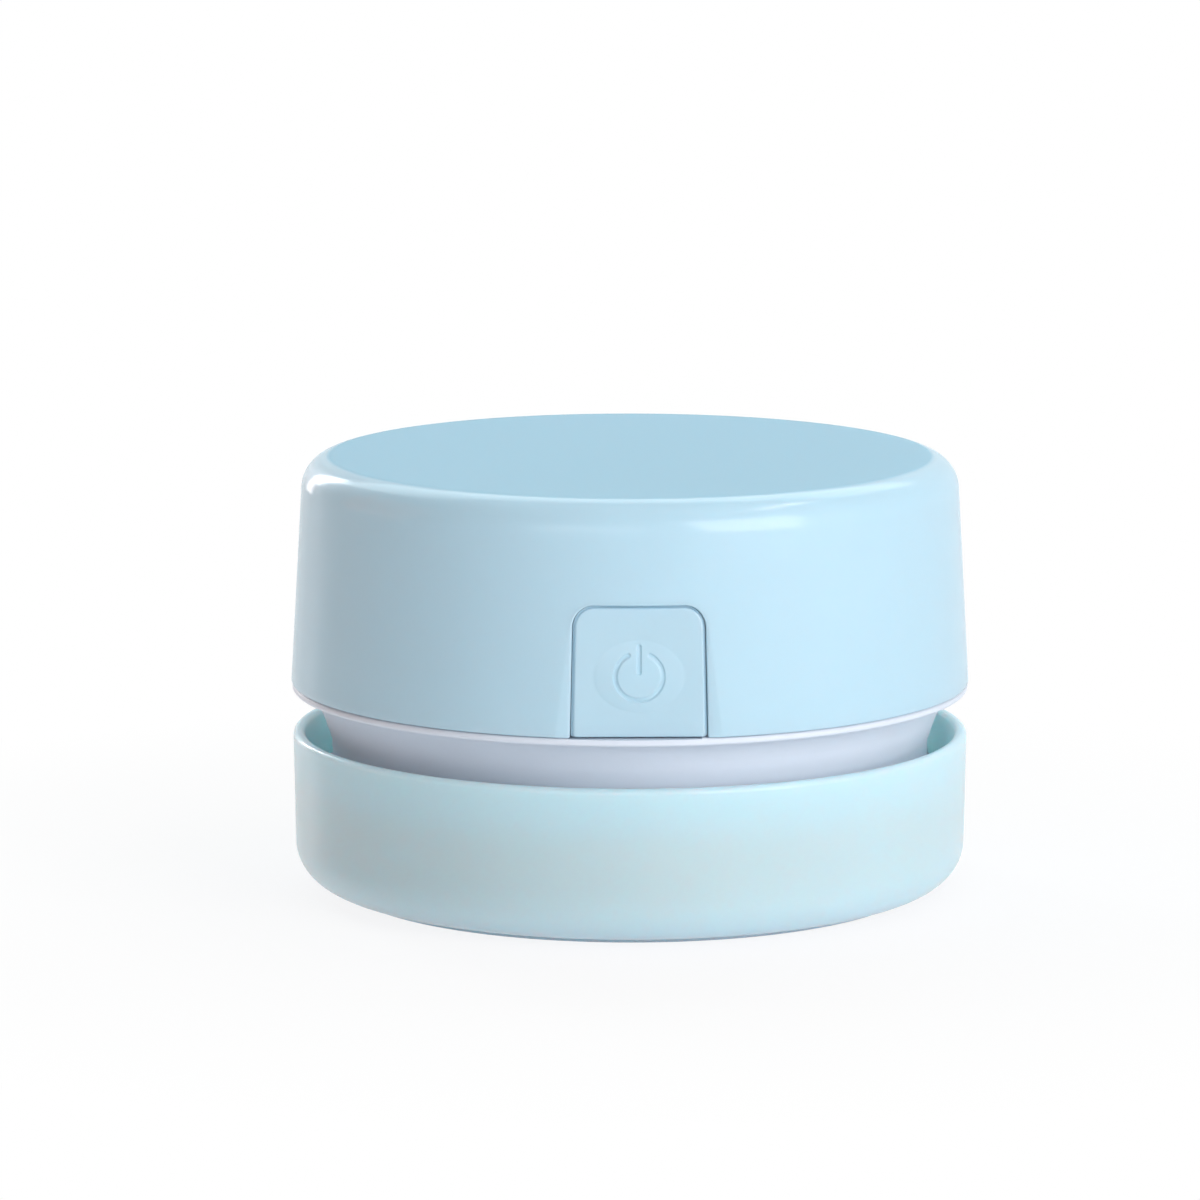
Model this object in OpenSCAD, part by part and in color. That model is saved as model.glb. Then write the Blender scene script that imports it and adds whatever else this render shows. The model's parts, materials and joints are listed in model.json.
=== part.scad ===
// Desktop mini vacuum cleaner: a palm-sized drum for the crumbs on a desk.
// A shallow cup stands on the desk and has a brushed suction inlet in its floor. A filter
// drops into the cup, and the motor head plugs in above it and lifts off to empty the dust.
// Z is up, the desk is z = 0, and the power key faces -Y.

/* [Drum] */
// Largest diameter of the drum, at the lower edge of the top cover
body_d = 85.4; // [85:0.2:96]
// Height of the cup's rim above the desk
cup_h = 20.1; // [19:0.1:28]
// Height of the open slot between the cup's rim and the white ring
slot_h = 5.2; // [4.4:0.1:8]
// Height of the top cover
cover_h = 28.5; // [28:0.5:40]

/* [Cup] */
// How far the cup's rim stands inside the cover's edge
cup_inset = 0.2; // [0:0.1:1]
// Thickness of the cup's wall
cup_wall = 1.5; // [1.2:0.1:1.8]
// Thickness of the cup's floor
floor_t = 1.6; // [1.2:0.1:2]
// Draft of the cup's wall, in degrees
cup_draft = 0.95; // [0.2:0.05:1.4]
// Radius of the round edge under the cup
cup_edge = 5.4; // [4:0.1:6]
// Height of the foot ring
foot_h = 0.6; // [0.4:0.1:1]
// Width of the foot ring
foot_w = 2.2; // [1.6:0.1:3]
// Depth of the hollow under the middle of the floor, above the foot ring
hollow_h = 1.2; // [0.8:0.1:1.5]
// Width of the lugs that carry the filter
lug_w = 5; // [3:0.5:8]
// Depth of the lugs' tops below the rim
seat_depth = 9.3; // [9:0.1:9.8]

/* [Suction inlet and brush] */
// Diameter of the suction inlet
inlet_d = 24; // [18:0.5:25]
// Thickness of the inlet's snout
snout_wall = 1.4; // [1:0.1:1.8]
// Height of the snout above the cup's floor
snout_h = 4.2; // [3:0.1:5]
// Chamfer under the inlet
inlet_chamfer = 1.1; // [0.6:0.1:1.2]
// Inner radius of the brush strips
brush_r = 15.6; // [15.2:0.1:16.5]
// Width of the brush strips
brush_w = 4; // [3:0.1:4.4]
// Thickness of the strips' backing
backing_t = 1; // [0.6:0.1:1.4]
// Height of the backing's top above the desk
backing_top = 5.6; // [5:0.1:5.9]
// Angle of one brush strip, in degrees
strip_angle = 58; // [40:1:64]
// Height of the bristle tips above the desk
tip_h = 0.35; // [0.2:0.05:0.5]
// Thickness of a bristle
bristle_d = 0.44; // [0.3:0.02:0.5]
// Diameter of the brush plate's flange
plate_d = 55; // [52:0.5:58]
// Thickness of the brush plate's flange
plate_t = 1; // [0.8:0.1:1.4]

/* [Filter] */
// Height of the filter's rim
filter_h = 1.4; // [1.3:0.1:1.8]
// Width of the filter's rim
filter_rim_w = 3.8; // [3.2:0.1:5]
// Thickness of the filter's spokes
spoke_t = 1; // [0.7:0.1:1.4]
// Width of the filter's spokes
spoke_w = 1.6; // [1:0.1:2.4]
// Thickness of the filter cloth
cloth_t = 0.6; // [0.3:0.1:0.6]

/* [Mid frame] */
// Height of the white ring's edge
ring_h = 0.85; // [0.7:0.05:1.5]
// How far the white ring stands inside the cover's edge
ring_inset = 0.1; // [0:0.05:0.5]
// Seam between the ring and the cover
seam = 0.15; // [0.1:0.05:0.3]
// Depth of the neck behind the ring's edge
neck_depth = 5; // [4.5:0.1:5.6]
// Thickness of the neck's wall
neck_wall = 1.8; // [1.4:0.1:2]
// Radius of the cove under the ring
cove = 5.5; // [5:0.1:7]
// Height of the cove
cove_h = 4.8; // [3:0.1:4.9]
// Radius of the ring's lower edge
ring_edge = 0.4; // [0.1:0.05:0.6]
// Height of the flange that plugs into the cup
flange_h = 2; // [1.8:0.1:2.2]
// Thickness of the motor deck
deck_t = 1.8; // [1.6:0.1:2.2]
// Depth of the deck's top below the ring's top
deck_sink = 3.55; // [3:0.05:3.8]
// Number of air vents in the back of the neck
vent_n = 14; // [6:1:15]
// Width of one air vent
vent_w = 4; // [2:0.1:4.4]
// Height of the neck left whole above the vents, under the deck
vent_lintel = 1.9; // [1:0.1:2.4]
// Height of the locating lip inside the cover
lip_h = 2; // [1:0.1:2.2]
// Width of the gap in the lip behind the power key
lip_gap = 28; // [24:0.5:30]

/* [Top cover] */
// Thickness of the cover's wall
cover_wall = 2; // [1.6:0.1:2.2]
// Draft of the cover's wall, in degrees
cover_draft = 3.3; // [2.5:0.1:3.6]
// Radius of the cover's round top edge
cover_edge = 4.1; // [3.4:0.1:6]
// Thickness of the ribs inside the cover
rib_t = 1.2; // [0.8:0.1:1.6]

/* [Power key] */
// Width of the power key
key_w = 16; // [12:0.5:17]
// Height of the power key
key_h = 16.1; // [14:0.1:17]
// Radius of the key's upper corners
key_corner = 2.5; // [1.5:0.1:4]
// Gap round the key
key_gap = 0.3; // [0.2:0.05:0.4]
// Thickness of the key's face
key_face_t = 1.4; // [1:0.1:1.6]
// Depth of the key from its face to its back
key_t = 2.9; // [2.7:0.1:3]
// Width of the lip that keeps the key behind the cover
key_lip = 1.2; // [0.8:0.1:1.4]
// Diameter of the raised round in the key's face
dome_d = 10.5; // [7:0.5:11]
// Height of the raised round
dome_h = 0.3; // [0.1:0.05:0.5]
// Depth of the flat behind the cover's lower edge
facet_inset = 1.2; // [1.1:0.05:1.4]
// Lean of the flat, in degrees
facet_lean = 1.75; // [1.2:0.05:2.2]
// Thickness of the cover behind the flat
facet_t = 1.9; // [1.7:0.1:2]
// Travel of the key
key_travel = 1.1; // [0.6:0.1:1.2]

/* [Fan] */
// Diameter of the fan wheel
fan_d = 54; // [46:1:56]
// Running gap above and below the fan wheel
fan_gap = 0.8; // [0.5:0.1:1]
// Thickness of the fan's disc
disc_t = 1; // [0.8:0.1:1.4]
// Thickness of a fan blade
blade_t = 1; // [0.6:0.1:1.4]
// Number of fan blades
blade_n = 9; // [6:1:11]
// Diameter of the air eye in the fan guard
eye_d = 26; // [20:1:30]
// Thickness of the fan guard
guard_t = 1.2; // [0.8:0.1:1.2]

/* [Motor] */
// Diameter of the motor
motor_d = 24; // [22:0.5:24.5]
// Length of the motor
motor_l = 24; // [21:0.2:27]
// Thickness of the motor's can
can_t = 0.8; // [0.6:0.1:1]
// Thickness of the motor's end cap
cap_t = 1.8; // [1.4:0.1:2.2]
// Diameter of the motor shaft
shaft_d = 2; // [1.5:0.1:2.3]
// Distance from the rotor's iron to the motor's ends
core_end = 5; // [4.6:0.1:6]
// Thickness of the magnets
magnet_t = 1.7; // [1.2:0.1:2]
// Width of the rotor's teeth
tooth_w = 3; // [2:0.1:4]
// Thickness of the rotor's pole shoes
shoe_t = 1.5; // [1:0.1:2]
// Width of a coil
coil_w = 7.2; // [5:0.1:7.4]
// Width of the motor's terminals
terminal_w = 2.4; // [1.6:0.1:3]
// Thickness of the motor's terminals
terminal_t = 0.5; // [0.3:0.05:0.8]
// Height of the terminals above the motor
terminal_out = 2.2; // [1.5:0.1:2.4]

/* [Battery] */
// Diameter of the battery cell
cell_d = 10; // [8:0.1:11]
// Length of the battery cell
cell_l = 44; // [38:0.5:50]

/* [Electronics] */
// Thickness of the circuit boards
board_t = 1.2; // [0.8:0.1:1.6]
// Width of the charging board
charge_board_w = 22; // [19:0.5:24]
// Depth of the charging board
charge_board_l = 7; // [6:0.1:7.4]
// How far the charging socket stands out of its board
socket_out = 2.5; // [1.5:0.1:3]
// Width of the switch board
switch_board_w = 18; // [14:0.5:20]
// Side of the switch's square body
switch_w = 8; // [6:0.5:9]
// Depth of the switch's body
switch_t = 3; // [2.8:0.1:3.2]
// Diameter of the switch's plunger
plunger_d = 3.4; // [2.6:0.1:4]
// Width of the charging socket
socket_w = 9; // [8:0.1:9.6]
// Height of the charging socket
socket_h = 3.26; // [3:0.02:3.6]
// Depth of the charging socket
socket_l = 7.4; // [6.4:0.1:7.8]

/* [Fasteners and fits] */
// Diameter of the cover screws
cover_screw_d = 2.4; // [2:0.1:2.6]
// Diameter of the small screws
small_screw_d = 2; // [1.6:0.1:2.2]
// Clearance between loose pieces
loose_fit = 0.3; // [0.2:0.05:0.4]
// Clearance between fixed pieces
close_fit = 0.1; // [0.05:0.01:0.15]
// Clearance of a pressed bore or a running shaft
bore_fit = 0.03; // [0.02:0.01:0.06]

/* [Hidden] */
$fn = 96;

// Colours
cover_blue = [0.67, 0.83, 0.90];
cup_blue = [0.75, 0.87, 0.93];
key_blue = [0.70, 0.84, 0.91];
frame_white = [0.94, 0.96, 0.98];
seal_grey = [0.55, 0.58, 0.62];
bristle_grey = [0.30, 0.32, 0.36];
steel = [0.72, 0.73, 0.75];
brass = [0.80, 0.66, 0.36];
copper = [0.78, 0.45, 0.26];
board_green = [0.10, 0.42, 0.28];
part_black = [0.12, 0.12, 0.13];

// A cut runs this far past the surface that it opens
past = 1;

// Radii of the drum
cover_r = body_d / 2;
cup_r = cover_r - cup_inset;
ring_r = cover_r - ring_inset;
neck_r = ring_r - neck_depth;
neck_in = neck_r - neck_wall;

// Heights, from the desk up
bowl_z = foot_h + floor_t;
hollow_z = foot_h + hollow_h;
floor_z = hollow_z + floor_t;
seat_z = cup_h - seat_depth;
filter_z = seat_z + filter_h;
flange_z = filter_z + flange_h;
ring_z = cup_h + slot_h;
ring_top = ring_z + ring_h;
cover_z = ring_top + seam;
total_h = cover_z + cover_h;
roof_z = total_h - cover_wall;
deck_top = ring_top - deck_sink;
deck_z = deck_top - deck_t;

// Radius of the cup's inner face and of the cover's inner face at a height
function cup_in(z) = cup_r - cup_wall - (cup_h - z) * tan(cup_draft);
function cover_in(z) = cover_r - cover_wall - (z - cover_z) * tan(cover_draft);

// Foot ring, and the hole for the brush plate
foot_r = cup_r - cup_edge - (cup_h - foot_h) * tan(cup_draft) - loose_fit;
hollow_r = foot_r - foot_w;
channel_wall = 1.2;
plate_r = brush_r + brush_w + channel_wall + close_fit + 1;
plate_screw_r = (plate_r + plate_d / 2) / 2;
plate_screw_l = 2.6;

// Brush strips, one on each side of the inlet
strip_n = 4;
row_n = 4;
tuft_n = 20;
backing_z = backing_top - backing_t;
channel_top = backing_top + channel_wall;

// Filter and flange fit inside the cup
filter_r = cup_in(seat_z) - loose_fit - close_fit;
cloth_r = filter_r - filter_rim_w / 2 - close_fit;
spoke_n = 6;
hub_r = 5;
flange_r = cup_in(filter_z) - loose_fit - close_fit;
seal_h = flange_h / 2.5;
seal_z = filter_z + (flange_h - seal_h) / 2;
seal_depth = 0.9;
lug_n = 4;
lug_reach = filter_rim_w - 0.8;

// Vents in the neck, and the lip inside the cover
vent_pitch = 12;
lip_r = cover_in(ring_top + lip_h) - close_fit;
lip_back = sqrt(pow(lip_r - rib_t, 2) - pow(lip_gap / 2, 2)) - loose_fit;

// Fan chamber, between the guard and the deck
guard_step = 0.6;
guard_top = flange_z - 0.2;
guard_z = guard_top - guard_t;
guard_r = neck_in + guard_step - 2 * close_fit;
fan_r = fan_d / 2;
fan_z = guard_top + fan_gap;
head_h = 1.4;
disc_top = deck_z - head_h - loose_fit;
fan_hub_r = 4;
fan_hub_out = 0.6;
fan_hub_top = disc_top + fan_hub_out;

// Motor on the deck
motor_r = motor_d / 2;
motor_top = deck_top + motor_l;
can_in = motor_r - can_t;
can_top = motor_top - cap_t;
bush_r = 3;
bush_out = 1.4;
bush_l = 3.2;
motor_screw_x = 8;
motor_screw_l = 3.2;
small_head_h = 0.8;
shaft_r = shaft_d / 2;
core_z = deck_top + core_end;
core_top = can_top - core_end;
core_r = can_in - close_fit - magnet_t - 0.5;
hub_out = 0.2;
coil_end = 1.3;
spigot_l = 1.5;
terminal_inset = 3;
terminal_x = can_in - terminal_inset;

// Battery behind the motor
cell_r = cell_d / 2;
cradle_wall = 0.6;
cell_y = motor_r + 2 + cell_r + cradle_wall;
cell_z = ring_top + loose_fit + cell_r;
tab_t = 0.3;
cradle_end_t = 1.4;
cradle_end_x = cell_l / 2 + tab_t + close_fit;
saddle_t = 3;

// Screws that hold the cover, beside the ends of the battery's cradle and just inside the neck
post_r = 2.8;
post_x = cradle_end_x + cradle_end_t + post_r + 0.9;
post_y = sqrt(pow(neck_in - post_r - 0.55, 2) - pow(post_x, 2));
cover_screw_l = 10;

// Power key and its switch, in the flat of the cover
key_mid = key_h / 2;
key_z = cover_z + key_mid * cos(facet_lean);
facet_y = cover_r - facet_inset;
plunger_y = key_t + 0.6 - facet_y;
plunger_out = key_travel + loose_fit;
plunger_l = 2.4;
switch_board_out = 6;
facet_margin = 3;
key_room = 4;
switch_face_y = plunger_y + plunger_out;
switch_board_y = switch_face_y + switch_t;
switch_board_h = key_z + switch_w / 2 + switch_board_out - deck_top;
rail_t = 1.5;
rail_h = 12;

// Charging board and socket, at the back
socket_z = ring_top + lip_h + loose_fit + board_t + socket_h / 2;
socket_y = cover_in(socket_z) + cover_wall / 2 - 0.2;
charge_board_y = socket_y - socket_out - charge_board_l;
charge_board_z = socket_z - socket_h / 2 - board_t;
socket_wall = 0.35;
tongue_t = 0.7;
tongue_gap = 0.95;
tongue_root = 1.2;
charge_post_inset = 3;
charge_post_x = charge_board_w / 2 - charge_post_inset;
charge_post_r = 2.2;
charge_post_back = 1.5;
charge_post_y = charge_board_y + charge_board_l - charge_post_back;
board_screw_bite = 2.2;
board_screw_l = board_t + board_screw_bite;

// Half outline of a drum that stands on z = 0 with a round lower edge and is open at
// height h, where its radius is r. Its wall leans in towards the round edge.
module drum_half(r, h, draft, edge) {
    centre = [r - (h - edge) * tan(draft) - edge / cos(draft), edge];
    wall_end = centre + edge * [cos(draft), -sin(draft)];
    polygon([[0, 0], [centre.x, 0], wall_end, [r, h], [0, h]]);
    translate(centre) circle(edge);
}

// Half outline of the cover's outer face, and of its hollow, both open downwards
module cover_half() {
    translate([0, total_h]) mirror([0, 1]) drum_half(cover_r, cover_h, cover_draft, cover_edge);
}

module cover_hollow_half() {
    h = roof_z - cover_z + past;
    translate([0, roof_z]) mirror([0, 1])
        drum_half(cover_in(cover_z - past), h, cover_draft, cover_edge - cover_wall);
}

// A flat ring from an inner to an outer radius
module ring(r_in, r_out) {
    difference() {
        circle(r_out);
        circle(r_in);
    }
}

// A ring of square section, for revolving
module band(r_in, r_out, z, top) {
    translate([r_in, z]) square([r_out - r_in, top - z]);
}

// Places its children on the four sides of a rectangle's corners
module at_corners(x, y) {
    for (sx = [-1, 1], sy = [-1, 1]) translate([sx * x, sy * y, 0]) children();
}

// A screw that points up, with the underside of its head at z = 0 and a cross in the head
module screw(d, length, head) {
    difference() {
        union() {
            cylinder(h = length, d = d);
            translate([0, 0, -head]) cylinder(h = head, d = 1.8 * d);
        }
        for (a = [0, 90]) rotate(a) translate([-d / 2, -d / 10, -head - past])
            cube([d, d / 5, past + head / 2]);
    }
}

// Puts its children on the flat of the cover: x to the right, y up the flat, z outwards
module on_flat() {
    translate([0, -facet_y, cover_z]) rotate([90 - facet_lean, 0, 0]) children();
}

// Outline of the power key, grown all round, with its lower edge at the height low
module key_outline(grow, low) {
    half_w = key_w / 2 + grow;
    top = key_h + grow;
    corner = key_corner + grow;
    translate([-half_w, low]) square([2 * half_w, top - corner - low]);
    translate([corner - half_w, low]) square([2 * (half_w - corner), top - low]);
    for (side = [-1, 1]) translate([side * (half_w - corner), top - corner]) circle(corner);
}

// Cup

module dust_cup() color(cup_blue) difference() {
    union() {
        rotate_extrude() difference() {
            union() {
                difference() {
                    translate([0, foot_h])
                        drum_half(cup_r, cup_h - cup_wall / 2 - foot_h, cup_draft, cup_edge);
                    translate([0, bowl_z])
                        drum_half(cup_in(cup_h + past), cup_h + past - bowl_z, cup_draft,
                                  cup_edge - cup_wall);
                }
                translate([cup_r - cup_wall / 2, cup_h - cup_wall / 2]) circle(cup_wall / 2);
                band(hollow_r, foot_r, 0, bowl_z);
                band(0, hollow_r + floor_t, hollow_z, floor_z);
            }
            band(0, hollow_r, 0, hollow_z);
            band(0, plate_r + loose_fit, 0, floor_z + past);
        }
        intersection() {
            for (i = [0:lug_n - 1]) rotate((i + 0.5) * 360 / lug_n)
                translate([cup_in(seat_z) - lug_reach, -lug_w / 2, bowl_z - floor_t / 2])
                    cube([lug_reach + cup_wall, lug_w, seat_z - bowl_z + floor_t / 2]);
            rotate_extrude() translate([0, foot_h + floor_t / 2])
                drum_half(cup_in(cup_h) + cup_wall / 2, cup_h - foot_h, cup_draft,
                          cup_edge - cup_wall / 2);
        }
    }
    for (i = [0:strip_n - 1]) rotate((i + 0.5) * 360 / strip_n)
        translate([plate_screw_r, 0, 0])
            cylinder(h = floor_z + past, d = small_screw_d + loose_fit);
}

module brush_plate() color(frame_white) difference() {
    rotate_extrude() difference() {
        union() {
            band(inlet_d / 2, inlet_d / 2 + snout_wall, hollow_z, floor_z + snout_h - snout_wall / 2);
            translate([inlet_d / 2 + snout_wall / 2, floor_z + snout_h - snout_wall / 2])
                circle(snout_wall / 2);
            band(inlet_d / 2, plate_r, hollow_z, floor_z + plate_t);
            band(inlet_d / 2, plate_d / 2, floor_z, floor_z + plate_t);
            band(brush_r - channel_wall, brush_r + brush_w + channel_wall, hollow_z, channel_top);
        }
        polygon([
            [inlet_d / 2 - past, hollow_z - past],
            [inlet_d / 2 + inlet_chamfer + past, hollow_z - past],
            [inlet_d / 2 - past, hollow_z + inlet_chamfer + past]
        ]);
    }
    for (i = [0:strip_n - 1]) rotate(i * 360 / strip_n - strip_angle / 2)
        rotate_extrude(angle = strip_angle) band(brush_r, brush_r + brush_w, 0, backing_top);
    for (i = [0:strip_n - 1]) rotate((i + 0.5) * 360 / strip_n)
        translate([plate_screw_r, 0, 0]) cylinder(h = channel_top, d = small_screw_d + bore_fit);
}

// One strip of bristles in its backing, on side i of the inlet
module brush_strip(i) color(bristle_grey) {
    end_gap = close_fit / brush_r * 180 / PI;
    spread = strip_angle - 4;
    rotate(i * 360 / strip_n - strip_angle / 2 + end_gap)
        rotate_extrude(angle = strip_angle - 2 * end_gap)
            band(brush_r + close_fit, brush_r + brush_w - close_fit, backing_z, backing_top);
    translate([0, 0, tip_h]) linear_extrude(backing_z + backing_t / 2 - tip_h)
        for (row = [0:row_n - 1], k = [0:tuft_n - 1]) {
            stagger = (row % 2 - 0.5) / 2;
            rotate(i * 360 / strip_n + ((k + 0.5 + stagger) / tuft_n - 0.5) * spread)
                translate([brush_r + (row + 0.5) * brush_w / row_n, 0])
                    circle(d = bristle_d, $fn = 4);
        }
}

module plate_screws() color(steel)
    for (i = [0:strip_n - 1]) rotate((i + 0.5) * 360 / strip_n)
        translate([plate_screw_r, 0, hollow_z])
            screw(small_screw_d, plate_screw_l, small_head_h);

// Filter

module filter_frame() color(frame_white) {
    rotate_extrude() difference() {
        band(filter_r - filter_rim_w, filter_r, seat_z, filter_z);
        band(0, cloth_r + close_fit, filter_z - cloth_t - 2 * close_fit, filter_z + past);
    }
    spoke_top = filter_z - cloth_t - 2 * close_fit;
    translate([0, 0, spoke_top - spoke_t]) linear_extrude(spoke_t) {
        circle(hub_r);
        ring(filter_r / 2 - spoke_w / 2, filter_r / 2 + spoke_w / 2);
        for (i = [0:spoke_n - 1]) rotate(i * 360 / spoke_n)
            translate([0, -spoke_w / 2]) square([filter_r - filter_rim_w / 2, spoke_w]);
    }
}

module filter_cloth() color([0.97, 0.97, 0.96])
    translate([0, 0, filter_z - cloth_t - 2 * close_fit]) cylinder(h = cloth_t, r = cloth_r);

// Motor head

module mid_frame() color(frame_white) difference() {
    union() {
        rotate_extrude() difference() {
            union() {
                band(neck_in, neck_r, filter_z, ring_top);
                band(neck_in, flange_r, filter_z, flange_z);
                band(neck_in, ring_r - ring_edge, ring_z, ring_top);
                band(neck_in, ring_r, ring_z + ring_edge, ring_top);
                translate([ring_r - ring_edge, ring_z + ring_edge]) circle(ring_edge);
                difference() {
                    band(neck_r, neck_r + cove, ring_z - cove_h, ring_z);
                    translate([neck_r + cove, ring_z - cove_h]) circle(cove);
                }
                band(0, neck_r - neck_wall / 2, deck_z, deck_top);
                band(motor_r + 2 * close_fit, motor_r + 1.2, deck_top, deck_top + 1.6);
                band(lip_r - rib_t, lip_r, ring_top, ring_top + lip_h);
            }
            band(flange_r - seal_depth, flange_r + past, seal_z, seal_z + seal_h);
            band(0, neck_in + guard_step, filter_z - past, guard_top);
            band(0, bush_r + close_fit, 0, deck_top + past);
        }
        for (side = [-1, 1]) {
            translate([side * charge_post_x, charge_post_y, ring_z])
                cylinder(h = charge_board_z - ring_z, r = charge_post_r);
            switch_rail(side);
        }
    }
    for (i = [0:vent_n - 1]) rotate(90 + (i - (vent_n - 1) / 2) * vent_pitch)
        translate([neck_in - past, -vent_w / 2, flange_z + 0.4])
            cube([neck_wall + 2 * past, vent_w, deck_z - vent_lintel - flange_z - 0.4]);
    at_corners(post_x, post_y) translate([0, 0, deck_z - past])
        cylinder(h = deck_t + 2 * past, d = cover_screw_d + loose_fit);
    for (side = [-1, 1]) {
        translate([side * motor_screw_x, 0, deck_z - past]) {
            cylinder(h = deck_t + 2 * past, d = small_screw_d + loose_fit);
            cylinder(h = past + small_head_h + close_fit, d = 1.8 * small_screw_d + loose_fit);
        }
        translate([side * charge_post_x, charge_post_y, ring_top - close_fit])
            cylinder(h = socket_z - ring_top, d = small_screw_d + bore_fit);
    }
    // The lip stops short of the key, whose back moves there
    translate([-lip_gap / 2, -cover_r, ring_top])
        cube([lip_gap, cover_r - lip_back, lip_h + past]);
}

// Grooved upright that holds one edge of the switch board
module switch_rail(side) {
    edge_x = switch_board_w / 2;
    translate([side * edge_x, switch_board_y + board_t / 2, deck_z]) difference() {
        translate([-rail_t, -board_t / 2 - rail_t, 0])
            cube([2 * rail_t, board_t + 2 * rail_t, deck_t + rail_h]);
        translate([side > 0 ? -rail_t - past : -close_fit, -board_t / 2 - close_fit, deck_t])
            cube([rail_t + past + close_fit, board_t + 2 * close_fit, rail_h + past]);
    }
}

module neck_seal() color(seal_grey)
    rotate_extrude() band(flange_r - seal_depth + bore_fit, cup_in(seal_z) - loose_fit,
                          seal_z + bore_fit, seal_z + seal_h - bore_fit);

module fan_guard() color(frame_white)
    translate([0, 0, guard_z]) linear_extrude(guard_t) {
        ring(eye_d / 2, guard_r);
        circle(hub_r / 2);
        ring(eye_d / 4 - 0.5, eye_d / 4 + 0.5);
        for (i = [0:2]) rotate(i * 60) square([eye_d + past, 1], center = true);
    }

module top_cover() color(cover_blue) difference() {
    union() {
        rotate_extrude() difference() {
            cover_half();
            cover_hollow_half();
        }
        at_corners(post_x, post_y) translate([0, 0, deck_top])
            cylinder(h = roof_z + cover_wall / 2 - deck_top, r = post_r);
        intersection() {
            union() {
                cover_ribs();
                on_flat() translate([-key_w / 2 - facet_margin, 0, -facet_t])
                    cube([key_w + 2 * facet_margin, key_h + facet_margin, facet_t]);
            }
            translate([0, 0, -cover_wall / 2]) rotate_extrude() difference() {
                cover_half();
                band(0, cover_r, total_h, total_h + past);
            }
        }
    }
    on_flat() {
        linear_extrude(cover_r) {
            key_outline(key_gap, -past);
            translate([-key_w, -past]) square([2 * key_w, key_h - key_corner + past]);
        }
        translate([0, 0, -facet_t - past]) linear_extrude(facet_t + 2 * past)
            key_outline(key_gap, -past);
        translate([0, 0, -facet_t - key_room]) linear_extrude(key_room)
            key_outline(key_lip + key_gap, -past);
    }
    translate([0, cover_r + past, socket_z]) rotate([90, 0, 0]) linear_extrude(cover_r / 4)
        socket_outline(loose_fit);
    at_corners(post_x, post_y) translate([0, 0, deck_top - past])
        cylinder(h = cover_screw_l + past, d = cover_screw_d + bore_fit);
}

// Stiffening ribs inside the cover: one outwards from each screw post, and a ring round the motor
module cover_ribs() {
    lean = atan2(post_y, post_x);
    reach = cover_r - norm([post_x, post_y]);
    for (a = [lean, 180 - lean, 180 + lean, -lean]) rotate(a)
        translate([norm([post_x, post_y]), -rib_t / 2, ring_top + lip_h + past])
            cube([reach, rib_t, roof_z + cover_wall - ring_top - lip_h - past]);
    translate([0, 0, motor_top - 1]) linear_extrude(roof_z + cover_wall / 2 - motor_top + 1)
        ring(motor_r + 2 * close_fit, motor_r + 1.2);
}

// Outline of the charging socket, grown all round
module socket_outline(grow) {
    r = socket_h / 2 + grow;
    x = (socket_w - socket_h) / 2;
    square([2 * x, 2 * r], center = true);
    for (side = [-1, 1]) translate([side * x, 0]) circle(r);
}

module cover_screws() color(steel) at_corners(post_x, post_y)
    translate([0, 0, deck_z]) screw(cover_screw_d, cover_screw_l + deck_t - past, head_h);

// Motor

module motor_can() color(steel) difference() {
    rotate_extrude() difference() {
        band(0, motor_r, deck_top, can_top);
        band(0, can_in, deck_top + can_t, can_top + past);
        band(0, bush_r + bore_fit, deck_top - past, deck_top + 2 * past);
    }
    for (side = [-1, 1]) translate([side * motor_screw_x, 0, deck_top - past])
        cylinder(h = can_t + 2 * past, d = small_screw_d + bore_fit);
}

module motor_cap() color(part_black) difference() {
    rotate_extrude() difference() {
        union() {
            band(0, motor_r, can_top, motor_top);
            band(0, can_in - close_fit, can_top - spigot_l, can_top);
        }
        band(0, bush_r + bore_fit, 0, total_h);
        band(bush_r + spigot_l, can_in - spigot_l, can_top - 2 * spigot_l, can_top);
    }
    for (side = [-1, 1]) translate([side * terminal_x, 0, can_top])
        cube([terminal_t + 2 * bore_fit, terminal_w + 2 * bore_fit, 2 * (cap_t + past)],
             center = true);
}

module motor_bushes() color(brass) for (z = [deck_top - bush_out, motor_top + 0.4 - bush_l])
    translate([0, 0, z]) difference() {
        cylinder(h = bush_l, r = bush_r);
        translate([0, 0, -past]) cylinder(h = bush_l + 2 * past, r = shaft_r + bore_fit);
    }

module motor_magnets() color(part_black) for (a = [25, 205]) rotate(a)
    rotate_extrude(angle = 130)
        band(can_in - close_fit - magnet_t, can_in - close_fit, core_z - 1.5, core_top + 1.5);

module motor_terminals() color(brass) for (side = [-1, 1])
    translate([side * terminal_x - terminal_t / 2, -terminal_w / 2, can_top - spigot_l])
        cube([terminal_t, terminal_w, spigot_l + cap_t + terminal_out]);

module motor_screws() color(steel) for (side = [-1, 1])
    translate([side * motor_screw_x, 0, deck_z + small_head_h + close_fit])
        screw(small_screw_d, motor_screw_l, small_head_h);

module motor_shaft() color(steel)
    translate([0, 0, fan_z]) cylinder(h = motor_top + 1 - fan_z, r = shaft_r);

module armature() color(steel) translate([0, 0, core_z]) linear_extrude(core_top - core_z)
    difference() {
        union() {
            circle(bush_r + hub_out);
            for (i = [0:2]) rotate(i * 120) {
                translate([0, -tooth_w / 2]) square([core_r - shoe_t / 2, tooth_w]);
                intersection() {
                    ring(core_r - shoe_t, core_r);
                    polygon([[0, 0], [2 * core_r, -2 * core_r], [2 * core_r, 2 * core_r]]);
                }
            }
        }
        circle(shaft_r + bore_fit);
    }

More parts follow.
